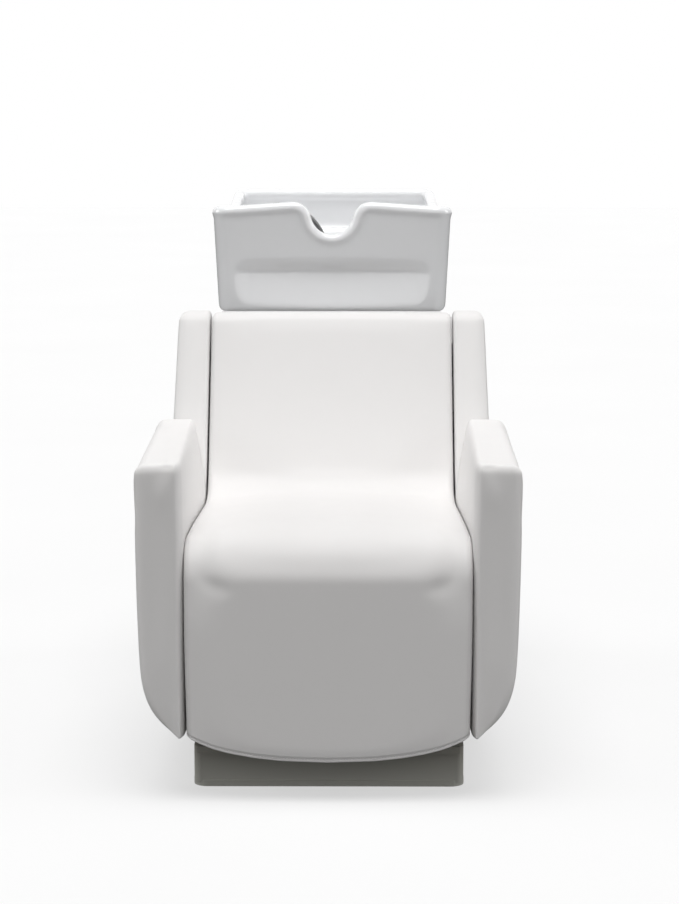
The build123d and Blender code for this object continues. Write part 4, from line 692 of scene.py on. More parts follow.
@dataclass
class PaddedForm:
    """A stuffed form: a rounded box of even faces, bent to its shape by a function.

    Attributes:
        name: the piece's name.
        size: the box before bending, in millimetres.
        low_round: rounding radii at the low ends of X, Y and Z.
        high_round: rounding radii at the high ends of X, Y and Z.
        bend: turns a box point into a place, in millimetres.
        seam_place: gives the distances from the side and end edges for the sewn lines.
        pitch: the faces' size, in millimetres.
        steps: faces across each rounding.
        flat: each vertex's place on the box, filled in while building.
    """

    name: str
    size: Point
    low_round: Point
    high_round: Point
    bend: Callable[[Point], Point]
    seam_place: Callable[[Point], Pair] | None = None
    pitch: float = 11.0
    steps: int = 3
    flat: list[Point] = field(default_factory=list)

    def _marks(self, axis: int) -> list[float]:
        """Returns the grid's places along one axis, closer in the rounded zones.

        Args:
            axis: 0, 1 or 2.

        Returns:
            The places, in millimetres.
        """
        low, high, length = self.low_round[axis], self.high_round[axis], self.size[axis]
        turns = [math.tan(math.pi / 4 * step / self.steps) for step in range(1, self.steps + 1)]
        middle = length - low - high
        count = max(1, round(middle / self.pitch))
        marks = [low - low * turn for turn in reversed(turns)]
        marks += [low + middle * step / count for step in range(count + 1)]
        marks += [length - high + high * turn for turn in turns]
        return marks

    def _rounded(self, place: Point) -> Point:
        """Moves a point of the box's skin onto the rounded skin.

        Args:
            place: the box point, in millimetres.

        Returns:
            The point on the rounded skin.
        """
        core = []
        reach = []
        for axis in range(3):
            low, high = self.low_round[axis], self.size[axis] - self.high_round[axis]
            inner = min(max(place[axis], low), high)
            radius = self.low_round[axis] if place[axis] < inner else self.high_round[axis]
            core.append(inner)
            reach.append(((place[axis] - inner) / radius if radius > 0 else 0.0, radius))
        span = math.sqrt(sum(value * value for value, _ in reach))
        if span == 0:
            return place
        return tuple(core[axis] + reach[axis][0] / span * reach[axis][1] for axis in range(3))

    def build(self) -> bpy.types.Object:
        """Makes the bent form.

        Returns:
            The new object, with a UV map of distances from its edges.
        """
        marks = [self._marks(axis) for axis in range(3)]
        last = [len(axis) - 1 for axis in marks]
        index: dict[tuple[int, int, int], int] = {}
        points: list[Point] = []

        def vertex(key: tuple[int, int, int]) -> int:
            """Returns the index of a grid point, adding it when new."""
            if key not in index:
                place = tuple(marks[axis][key[axis]] for axis in range(3))
                index[key] = len(points)
                self.flat.append(place)
                points.append(tuple(value * MM for value in self.bend(self._rounded(place))))
            return index[key]

        faces: list[tuple[int, ...]] = []
        for axis in range(3):
            first, second = (axis + 1) % 3, (axis + 2) % 3
            for level in (0, last[axis]):
                for i in range(last[first]):
                    for j in range(last[second]):
                        corners = []
                        for di, dj in ((0, 0), (1, 0), (1, 1), (0, 1)):
                            key = [0, 0, 0]
                            key[axis], key[first], key[second] = level, i + di, j + dj
                            corners.append(vertex(tuple(key)))
                        faces.append(tuple(corners) if level else tuple(reversed(corners)))
        mesh = new_mesh(self.name, points, faces)
        layer = mesh.uv_layers.new(name=COVER_MAP)
        if self.seam_place:
            places = [self.seam_place(place) for place in self.flat]
            for loop in mesh.loops:
                side, end = places[loop.vertex_index]
                layer.data[loop.index].uv = (side * MM, end * MM)
        rework(mesh, face_outwards)
        return new_object(self.name, mesh)


@dataclass(frozen=True)
class Stuffing:
    """How firmly a cover is filled in the simulation.

    Attributes:
        pressure: air pressure inside.
        cap: the most that a point may move, in metres.
        frames: how long the simulation runs.
        quality: steps in each frame.
        mass: of each point, in kilograms.
        stretch: resistance to stretching and squeezing.
        bending: resistance to bending.
    """

    pressure: float = 4.0
    cap: float = 0.003
    frames: int = 20
    quality: int = 5
    mass: float = 0.4
    stretch: float = 40.0
    bending: float = 4.0

    def fill(self, obj: bpy.types.Object, held: Sequence[int]) -> None:
        """Swells a cover by cloth simulation and keeps the result as plain mesh.

        Args:
            obj: the cover.
            held: the points that are fixed to the board behind or lie in a seam.
        """
        self._simulate(obj, held)
        finer = obj.modifiers.new("finer", "SUBSURF")
        finer.levels = finer.render_levels = 1
        settle_modifiers(obj)
        smooth(obj)

    def _simulate(self, obj: bpy.types.Object, held: Sequence[int]) -> None:
        """Runs the cloth and limits how far each point moves.

        Args:
            obj: the cover.
            held: the points that stay in place.
        """
        rest = [vertex.co.copy() for vertex in obj.data.vertices]
        pins = obj.vertex_groups.new(name="held")
        pins.add(list(held), 1.0, "REPLACE")
        cloth = obj.modifiers.new("stuffing", "CLOTH")
        settings = cloth.settings
        settings.quality = self.quality
        settings.mass = self.mass
        settings.tension_stiffness = settings.compression_stiffness = self.stretch
        settings.bending_stiffness = self.bending
        settings.use_pressure = True
        settings.uniform_pressure_force = self.pressure
        settings.effector_weights.gravity = 0
        settings.vertex_group_mass = "held"
        cloth.point_cache.frame_start, cloth.point_cache.frame_end = 1, self.frames
        scene = bpy.context.scene
        for number in range(1, self.frames + 1):
            scene.frame_set(number)
        graph = bpy.context.evaluated_depsgraph_get()
        swollen = obj.evaluated_get(graph).to_mesh()
        moved = [vertex.co.copy() for vertex in swollen.vertices]
        obj.evaluated_get(graph).to_mesh_clear()
        obj.modifiers.clear()
        obj.vertex_groups.clear()
        for vertex, start, end in zip(obj.data.vertices, rest, moved):
            step = end - start
            if step.length > self.cap:
                step *= self.cap / step.length
            vertex.co = start + step
        scene.frame_set(1)
        LOG.info("%s: swelled by up to %.1f mm", obj.name, self.cap / MM)


def dress(obj: bpy.types.Object, material: bpy.types.Material, body: str, slot: str, *replaced: str) -> None:
    """Gives a finished piece its material and body, and hides the nodes that it stands for.

    Args:
        obj: the piece.
        material: its finish.
        body: the CAD body that it rides on.
        slot: not used.
        replaced: CAD nodes that it stands for.
    """
    obj.data.materials.clear()
    obj.data.materials.append(material)
    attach(obj, body)
    if replaced:
        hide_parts(*replaced)
    LOG.info("%s: %d faces", obj.name, len(obj.data.polygons))


def upholster(form: PaddedForm, stuffing: Stuffing, held: Callable[[Point], bool], vinyl: bpy.types.Material,
              node: str) -> bpy.types.Object:
    """Builds a stuffed cover on the base.

    Args:
        form: its shape.
        stuffing: how it is filled.
        held: says whether a box point is fixed or lies in a seam.
        vinyl: its finish.
        node: the CAD node that it stands for.

    Returns:
        The cover.
    """
    cover = form.build()
    stuffing.fill(cover, [index for index, place in enumerate(form.flat) if held(place)])
    dress(cover, vinyl, "base", node, node)
    return cover


# Stitches

class StitchTree:
    """The Geometry Nodes tree that lays stitches along a line."""

    INPUTS = (("Spacing", 0.005), ("Length", 0.0034), ("Thickness", 0.0007))
    BEAD = {"Segments": 6, "Rings": 5, "Radius": 0.5}

    def __init__(self, thread: bpy.types.Material) -> None:
        """Builds the tree.

        Args:
            thread: the stitches' material.
        """
        tree = bpy.data.node_groups.new("stitch_line", "GeometryNodeTree")
        tree.interface.new_socket(name="Geometry", in_out="INPUT", socket_type="NodeSocketGeometry")
        for name, default in self.INPUTS:
            tree.interface.new_socket(name=name, in_out="INPUT", socket_type=FLOAT).default_value = default
        tree.interface.new_socket(name="Geometry", in_out="OUTPUT", socket_type="NodeSocketGeometry")
        w = Wiring(tree)
        given = w.add("NodeGroupInput").outputs
        line = w.add("GeometryNodeMeshToCurve", {"Mesh": given["Geometry"]})
        places = w.add("GeometryNodeCurveToPoints",
                       {"Curve": line.outputs["Curve"], "Length": given["Spacing"]}, mode="LENGTH").outputs
        bead = w.add("GeometryNodeMeshUVSphere", self.BEAD).outputs["Mesh"]
        shape = w.add("ShaderNodeCombineXYZ",
                      {"X": given["Thickness"], "Y": given["Thickness"], "Z": given["Length"]}).outputs[0]
        copies = w.add("GeometryNodeInstanceOnPoints", {"Points": places["Points"], "Instance": bead,
                                                        "Rotation": places["Rotation"], "Scale": shape})
        real = w.add("GeometryNodeRealizeInstances", {"Geometry": copies.outputs["Instances"]})
        painted = w.add("GeometryNodeSetMaterial", {"Geometry": real.outputs["Geometry"], "Material": thread})
        w.add("NodeGroupOutput", {"Geometry": painted.outputs["Geometry"]})
        self.tree = tree
        self.thread = thread

    def sew(self, name: str, lines: Iterable[Sequence[Point]], body: str, slot: str, spacing: float) -> None:
        """Lays stitches along lines, as one plain mesh.

        Args:
            name: the piece's name.
            lines: each line's places, in metres.
            body: the CAD body that the stitches ride on.
            slot: the record's material slot.
            spacing: from one stitch to the next, in metres.
        """
        points: list[Point] = []
        edges: list[tuple[int, int]] = []
        for line in lines:
            start = len(points)
            points += line
            edges += [(start + i, start + i + 1) for i in range(len(line) - 1)]
        mesh = bpy.data.meshes.new(name)
        mesh.from_pydata(points, edges, [])
        obj = new_object(name, mesh)
        modifier = obj.modifiers.new("stitches", "NODES")
        modifier.node_group = self.tree
        keys = {item.name: item.identifier for item in self.tree.interface.items_tree
                if item.in_out == "INPUT"}
        modifier[keys["Spacing"]] = spacing
        settle_modifiers(obj)
        smooth(obj)
        dress(obj, self.thread, body, slot)


# Upholstery

@dataclass(frozen=True)
class SidePath:
    """A line of straight runs and arcs in the side view, measured by its length.

    Attributes:
        corners: the line's corners as (y, z), in millimetres.
        radii: the arcs' radii at the inner corners.
    """

    corners: tuple[Pair, ...]
    radii: tuple[float, ...]

    def _pieces(self) -> list[tuple[float, float, float, float, float]]:
        """Returns each run and arc as start y, start z, heading, signed curvature and length.

        Returns:
            The pieces in their order.
        """
        headings = [math.atan2(b[1] - a[1], b[0] - a[0]) for a, b in zip(self.corners, self.corners[1:])]
        reaches = [radius * math.tan(abs(after - before) / 2)
                   for radius, before, after in zip(self.radii, headings, headings[1:])]
        pieces = []
        for index, heading in enumerate(headings):
            start, end = self.corners[index], self.corners[index + 1]
            cut_start = reaches[index - 1] if index else 0.0
            cut_end = reaches[index] if index < len(reaches) else 0.0
            y, z = start[0] + cut_start * math.cos(heading), start[1] + cut_start * math.sin(heading)
            length = math.dist(start, end) - cut_start - cut_end
            pieces.append((y, z, heading, 0.0, length))
            if index < len(reaches):
                turn = headings[index + 1] - heading
                y, z = y + length * math.cos(heading), z + length * math.sin(heading)
                bend = math.copysign(1 / self.radii[index], turn)
                pieces.append((y, z, heading, bend, abs(turn) * self.radii[index]))
        return pieces

    @property
    def length(self) -> float:
        """The whole line's length."""
        return sum(piece[4] for piece in self._pieces())

    def reach(self, index: int) -> float:
        """The length from the line's start to the end of one of its pieces."""
        return sum(piece[4] for piece in self._pieces()[:index + 1])

    def at(self, distance: float) -> tuple[float, float, float]:
        """Finds a place on the line.

        Args:
            distance: from the line's start.

        Returns:
            The place's y and z, and the heading there.
        """
        pieces = self._pieces()
        left = distance
        for y, z, heading, bend, length in pieces:
            if left <= length or (y, z, heading, bend, length) == pieces[-1]:
                if bend == 0.0:
                    return y + left * math.cos(heading), z + left * math.sin(heading), heading
                turned = heading + bend * left
                return (y + (math.sin(turned) - math.sin(heading)) / bend,
                        z - (math.cos(turned) - math.cos(heading)) / bend, turned)
            left -= length
        return pieces[-1][0], pieces[-1][1], pieces[-1][2]


def on_skin(obj: bpy.types.Object, places: Sequence[Point], lift: float) -> list[Point]:
    """Moves places onto a piece's surface.

    Args:
        obj: the piece.
        places: in metres.
        lift: how far above the surface they end.

    Returns:
        The moved places.
    """
    tree = BVHTree.FromPolygons([vertex.co for vertex in obj.data.vertices],
                                [tuple(polygon.vertices) for polygon in obj.data.polygons])
    moved = []
    for place in places:
        near, normal, _, _ = tree.find_nearest(Vector(place))
        moved.append(tuple(near + normal * lift))
    return moved


@dataclass
class Ribbon:
    """The upholstered ribbon: apron, front roll, seat, bend and back in one cover.

    Attributes:
        front_y: the apron's face.
        seat_front_z: height of the seat's front corner before rounding.
        junction: the corner between seat and back, as (y, z).
        back_top: the back's top edge, as (y, z).
        radii: radii of the front roll and of the bend.
        thickness: the padding's depth.
        half: half the box's width before bending.
        side_line: half the ribbon's width along its run, as (run, x).
        shoulder: how far the roll's ends fall away beyond the middle's line.
        dimple: how deep the hollow beside the seam is there.
        shoulder_reach: the shoulders' reach from the side edge.
        shoulder_run: where the shoulders begin, stand full, stand full still and end, along the run.
        crowns: how far the middle stands proud of the edges on apron, seat and back.
        low_line: the apron's bottom edge from the middle outwards, as (x, z).
        low_fade: the length over which the bottom edge's curve fades out.
        seam: from the edges to the sewn lines.
        sewn_run: where the sewn lines along the sides begin and end, along the run.
        stitch: from one stitch to the next.
        stitch_lift: how far the stitches stand on the cover, in metres.
        line_steps: parts of the hem's sewn line.
        side_step: the length of each part of the sides' sewn lines.
        face_share: the share of the padding's depth that is free to swell.
        seam_hold: how wide the fixed edge is, in sewn line distances.
        low_round: the box's rounding radii at the low ends of X, Y and Z.
        high_round: those at the high ends.
        pitch: the cover's face size.
        stuffing: how the cover is filled.
        fill: how full it is; not used.
    """

    front_y: float = -637.0
    seat_front_z: float = 495.0
    junction: Pair = (-185.0, 483.0)
    back_top: Pair = (0.33, 804.0)
    radii: Pair = (87.0, 90.0)
    thickness: float = 46.0
    half: float = 255.7
    side_line: tuple[Pair, ...] = ((0, 251.4), (75, 252.2), (150, 253.8), (220, 254.9), (395, 255.2),
                                   (430, 254.4),
                                   (475, 252.2), (780, 240.2), (830, 237.4))
    shoulder: float = 5.0
    dimple: float = 4.5
    shoulder_reach: float = 64.0
    shoulder_run: tuple[float, float, float, float] = (240.0, 360.0, 430.0, 580.0)
    crowns: tuple[float, float, float] = (4.0, 14.0, 10.0)
    low_line: tuple[Pair, ...] = ((0, 73.0), (84, 75.7), (134, 81), (179, 89), (209, 97), (231, 106),
                                  (246, 113.5), (256, 120))
    low_fade: float = 300.0
    seam: float = 7.0
    sewn_run: Pair = (330.0, 720.0)
    stitch: float = 5.2
    stitch_lift: float = 0.0001
    line_steps: int = 60
    side_step: float = 20.0
    face_share: float = 0.22
    seam_hold: float = 1.6
    low_round: Point = (11, 14, 3)
    high_round: Point = (11, 3, 15)
    pitch: float = 10.0
    stuffing: Stuffing = Stuffing(cap=0.002)
    fill: float = 0.75

    def __post_init__(self) -> None:
        """Works out the path along the cover's face."""
        corners = ((self.front_y, self.low_line[0][1]), (self.front_y, self.seat_front_z), self.junction,
                   self.back_top)
        self.path = SidePath(corners, self.radii)
        self.box = (2 * self.half, self.thickness, self.path.length)
        roll_end, bend_end = self.path.reach(1), self.path.reach(3)
        self.crown_line = ((self.path.reach(0), self.crowns[0]), (roll_end, self.crowns[1]),
                           (bend_end, self.crowns[1]), (self.path.length, self.crowns[2]))

    def bend(self, place: Point) -> Point:
        """Lays a box point on the ribbon: across, into the padding, and along the path.

        Args:
            place: the box point, in millimetres.

        Returns:
            Its place, in millimetres.
        """
        across = place[0] / self.half - 1
        depth, run = place[1], place[2]
        low = curve_value(self.low_line, abs(across) * self.half) - self.low_line[0][1]
        run += low * max(0.0, 1 - run / self.low_fade)
        heading = self.path.at(run)[2]
        level = max(0.0, 1 - (self.path.length - run) / self.low_fade)
        run += depth * math.tan(math.pi / 2 - heading) * level
        y, z, heading = self.path.at(run)
        outward = 1 - depth / self.thickness
        fall = curve_value(self.crown_line, run) * across * across + self._shoulder(abs(across), run)
        depth += fall * outward
        x = across * curve_value(self.side_line, run)
        return x, y + depth * math.sin(heading), z - depth * math.cos(heading)

    def _shoulder(self, across: float, run: float) -> float:
        """Returns how far the face falls away at the roll's two ends.

        Args:
            across: from 0 in the middle to 1 at the side edge.
            run: the place along the path.

        Returns:
            The fall, in millimetres.
        """
        begin, full, still, end = self.shoulder_run
        level = eased((run - begin) / (full - begin)) * eased((end - run) / (end - still))
        side = min(max(1 - (1 - across) * self.half / self.shoulder_reach, 0.0), 1.0)
        dimple = eased(2 * side) * eased(2 - 2 * side)
        return level * (self.shoulder * eased(side) + self.dimple * dimple)

    def seam_place(self, place: Point) -> Pair:
        """Returns a box point's distances from the side edge and from the hem."""
        end = place[2] if place[1] < self.thickness / 2 else -self.seam
        return min(place[0], 2 * self.half - place[0]), end

    def build(self, palette: Palette, stitches: StitchTree) -> None:
        """Makes the cover and its stitches.

        Args:
            palette: the finishes.
            stitches: the tree that sews them.
        """
        form = PaddedForm("seat_cover", self.box, self.low_round, self.high_round, self.bend, self.seam_place,
                          self.pitch)
        cover = upholster(form, self.stuffing, self._held, palette["ribbon_vinyl"], "seat_pad")
        low, high = self.seam, 2 * self.half - self.seam
        count = round((self.sewn_run[1] - self.sewn_run[0]) / self.side_step)
        lines = [[self._face(mixed(low, high, step / self.line_steps), self.seam)
                  for step in range(self.line_steps + 1)]]
        for x in (low, high):
            lines.append([self._face(x, mixed(*self.sewn_run, step / count)) for step in range(count + 1)])
        sewn = [on_skin(cover, line, self.stitch_lift) for line in lines]
        stitches.sew("seat_stitches", sewn, "base", "seat_pad", self.stitch * MM)

    def _held(self, place: Point) -> bool:
        """Says whether a box point is behind the face or near the edges, where the cover is sewn.

        Args:
            place: the box point, in millimetres.

        Returns:
            Whether it stays in place.
        """
        side, end = self.seam_place(place)
        reach = self.seam_hold * self.seam
        sewn = side < reach or end < reach or self.path.length - place[2] < self.seam
        return sewn or place[1] > self.thickness * self.face_share

    def _face(self, x: float, run: float) -> Point:
        """Returns a place on the cover's face in metres."""
        return tuple(value * MM for value in self.bend((x, 0.0, run)))


class Side(Enum):
    """Which side of the middle plane a piece is on."""

    LEFT = -1
    RIGHT = 1

    @property
    def word(self) -> str:
        """The side's name in lower case."""
        return self.name.lower()


@dataclass
class ArmSlab:
    """An upholstered arm slab.

    Attributes:
        side: which arm it is.
        front_y: the slab's front.
        rear_low_y: its rear end below the knee.
        rear_knee_z: where the rear end starts to lean.
        lean: the rear end's lean, in degrees.
        top_z: the slab's top.
        low_z: the slab's lowest line.
        inner_front: the inner face's line at the front, as (z, x).
        inner_rear: the inner face's line at the rear, as (z, x).
        outer_line: the outer face's line from its foot, as (x, z).
        far_y: where the inner face reaches its rear line.
        thickness: the slab's thickness before bending.
        corner_open: how far the inner face turns out at its front corner.
        corner_run: the length of that turn.
        low_round: the box's rounding radii at the low ends of X, Y and Z.
        high_round: those at the high ends.
        held_share: the share of the thickness that is fixed to the core.
        held_edge: the fixed edge at the rear and at the foot.
        fill: how full it is; not used.
    """

    side: Side
    front_y: float = -637.0
    rear_low_y: float = -193.2
    rear_knee_z: float = 458.0
    lean: float = 30.0
    top_z: float = 612.0
    low_z: float = 118.0
    far_y: float = 7.33
    inner_front: tuple[Pair, ...] = ((118.0, 256.8), (612.0, 256.8))
    inner_rear: tuple[Pair, ...] = ((118.0, 232.5), (480.0, 232.5), (612.0, 268.5))
    outer_line: tuple[Pair, ...] = ((264.0, 117.0), (284.0, 130.0), (298.0, 143.5), (311.0, 160.0),
                                    (320.5, 178.0),
                                    (329.0, 206.0), (332.0, 235.0), (336.5, 334.0), (338.9, 478.0),
                                    (340.0, 612.0))
    thickness: float = 72.0
    corner_open: float = 5.0
    corner_run: float = 30.0
    low_round: Point = (7, 10, 3)
    high_round: Point = (20, 4, 19)
    held_share: float = 0.25
    held_edge: float = 12.0
    fill: float = 0.9

    def bend(self, place: Point) -> Point:
        """Lays a box point in the slab: inner to outer, front to rear, foot to top.

        Args:
            place: the box point, in millimetres.

        Returns:
            Its place, in millimetres.
        """
        height = self.top_z - self.low_z
        rise = place[2] / height
        z_in = mixed(self.low_z, self.top_z, rise)
        outer_x, outer_z = along(self.outer, rise)
        through = place[0] / self.thickness
        z = mixed(z_in, outer_z, through)
        lean = max(0.0, z - self.rear_knee_z) * math.tan(math.radians(self.lean))
        run = place[1] / self.length
        y = mixed(self.front_y, self.rear_low_y + lean, run)
        share = (y - self.front_y) / (self.far_y - self.front_y)
        inner_x = mixed(curve_value(self.inner_front, z), curve_value(self.inner_rear, z), share)
        inner_x += self.corner_open * eased(1 - (y - self.front_y) / self.corner_run)
        return self.side.value * mixed(inner_x, outer_x, through), y, z

    def __post_init__(self) -> None:
        """Works out the slab's length and smooths its outer line."""
        self.length = self.rear_low_y - self.front_y
        self.outer = rounded_line(self.outer_line, 2)

    def _held(self, place: Point) -> bool:
        """Says whether a box point is fixed to the core."""
        inner, rear = self.thickness * self.held_share, self.length - self.held_edge
        return place[0] < inner or place[1] > rear or place[2] < self.held_edge

    def build(self, palette: Palette) -> None:
        """Makes the slab's cover.

        Args:
            palette: the finishes.
        """
        size = (self.thickness, self.length, self.top_z - self.low_z)
        form = PaddedForm(f"{self.side.word}_arm_padding", size, self.low_round, self.high_round, self.bend)
        node = f"{self.side.word}_arm_cover"
        upholster(form, Stuffing(), self._held, palette["cover_vinyl"], node)


@dataclass
class BackWing:
    """A padded wing beside the back.

    Attributes:
        side: which wing it is.
        inner_x: its inner face.
        outer_low_x: its outer face at the foot.
        outer_top_x: its outer face at the top.
        low_z: its foot.
        top_z: its top.
        top_y: where its front face meets the top.
        lean: the front face's lean, in degrees.
        depth: front to rear.
        low_round: the box's rounding radii at the low ends of X, Y and Z.
        high_round: those at the high ends.
        pitch: the cover's face size.
        held_share: the share of the depth, from the face, that is free to swell.
        held_edge: the fixed edge at the inner side.
        held_foot: the fixed edge at the foot.
        fill: how full it is; not used.
    """

    side: Side
    inner_x: float = 240.3
    outer_low_x: float = 312.0
    outer_top_x: float = 302.0
    low_z: float = 458.0
    top_z: float = 804.0
    top_y: float = 7.33
    lean: float = 30.0
    depth: float = 80.0
    low_round: Point = (9, 14, 2)
    high_round: Point = (22, 6, 14)
    pitch: float = 9.0
    held_share: float = 0.4
    held_edge: float = 12.0
    held_foot: float = 20.0
    fill: float = 0.9

    def bend(self, place: Point) -> Point:
        """Lays a box point in the wing: inner to outer, front to rear, foot to top.

        Args:
            place: the box point, in millimetres.

        Returns:
            Its place, in millimetres.
        """
        z = self.low_z + place[2]
        share = place[2] / (self.top_z - self.low_z)
        outer = mixed(self.outer_low_x, self.outer_top_x, share)
        x = mixed(self.inner_x, outer, place[0] / (self.outer_low_x - self.inner_x))
        y = self.top_y - (self.top_z - z) * math.tan(math.radians(self.lean)) + place[1]
        return self.side.value * x, y, z

    def _held(self, place: Point) -> bool:
        """Says whether a box point is fixed to the core."""
        rear = self.depth * self.held_share
        return place[1] > rear or place[0] < self.held_edge or place[2] < self.held_foot

    def build(self, palette: Palette) -> None:
        """Makes the wing's cover.

        Args:
            palette: the finishes.
        """
        size = (self.outer_low_x - self.inner_x, self.depth, self.top_z - self.low_z)
        form = PaddedForm(f"{self.side.word}_wing_padding", size, self.low_round, self.high_round, self.bend,
                          pitch=self.pitch)
        node = f"{self.side.word}_wing_cover"
        upholster(form, Stuffing(), self._held, palette["cover_vinyl"], node)


# Recess and its painted contact shadow

@dataclass(frozen=True)
class RecessStrip:
    """A dark sealing strip between the recessed base and the floor, put there as painted contact shadow under
    the base.

    Attributes:
        low: its box's low corner, in millimetres.
        high: its box's high corner, in millimetres.
        corner: its corners' radius.
        width: the strip's width.
        steps: faces round each corner.
    """

    low: Point = (-246.0, -534.0, 0.6)
    high: Point = (246.0, 538.0, 12.0)
    corner: float = 25.0
    width: float = 8.0
    steps: int = 6

    def _ring(self, inset: float) -> list[Pair]:
        """Returns a rounded rectangle drawn in by an inset.

        Args:
            inset: how far it is drawn in.

        Returns:
            The ring's corners as (x, y), in millimetres.
        """
        radius = self.corner - inset
        ring = []
        for turn, (x, y) in enumerate(((self.high[0], self.high[1]), (self.low[0], self.high[1]),
                                       (self.low[0], self.low[1]), (self.high[0], self.low[1]))):
            centre_x = x - math.copysign(self.corner, x)
            centre_y = y - self.corner if y == self.high[1] else y + self.corner
            for step in range(self.steps + 1):
                angle = math.pi / 2 * (turn + step / self.steps)
                ring.append((centre_x + radius * math.cos(angle), centre_y + radius * math.sin(angle)))
        return ring

    def build(self, palette: Palette) -> None:
        """Makes the strip of painted contact shadow.

        Args:
            palette: the finishes.
        """
        rings = [(self._ring(0.0), self.low[2]), (self._ring(0.0), self.high[2]),
                 (self._ring(self.width), self.high[2]), (self._ring(self.width), self.low[2])]
        count = len(rings[0][0])
        points = [(x * MM, y * MM, z * MM) for ring, z in rings for x, y in ring]
        faces = []
        for level in range(4):
            low, high = level * count, (level + 1) % 4 * count
            for step in range(count):
                far = (step + 1) % count
                faces.append((low + step, low + far, high + far, high + step))
        mesh = new_mesh("recess_strip", points, faces)
        rework(mesh, face_outwards)
        # Painted contact shadow: a dark strip where the base meets the floor.
        dress(new_object("recess_strip", mesh), palette["recess_laminate"], "base", "plinth")


# Basin

@dataclass
class Basin:
    """The glazed basin, cast again from its construction shape with softened edges.

    Attributes:
        voxel: the cast's fineness, in metres.
        rounds: how often the glaze softens the cast.
        softness: how much each round softens it.
        weld: points closer than this become one, in metres.
    """

    voxel: float = 0.0038
    rounds: int = 4
    softness: float = 0.5
    weld: float = 0.00001

    def _welded(self, shell: bmesh.types.BMesh) -> None:
        """Joins the points that the CAD faces share."""
        bmesh.ops.remove_doubles(shell, verts=shell.verts, dist=self.weld)

    def build(self, palette: Palette) -> None:
        """Makes the basin.

        Args:
            palette: the finishes.
        """
        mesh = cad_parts["basin"].data.copy()
        rework(mesh, self._welded)
        basin = new_object("glazed_basin", mesh)
        cast = basin.modifiers.new("cast", "REMESH")
        cast.mode, cast.voxel_size = "VOXEL", self.voxel
        glaze = basin.modifiers.new("glaze", "SMOOTH")
        glaze.factor, glaze.iterations = self.softness, self.rounds
        settle_modifiers(basin)
        smooth(basin)
        dress(basin, palette["basin_glaze"], "basin_unit", "basin", "basin")


# Hoses

class Skin(Enum):
    """How a hose's outside is made."""

    SPIRAL = "spiral"
    SMOOTH = "smooth"
    RIBBED = "ribbed"


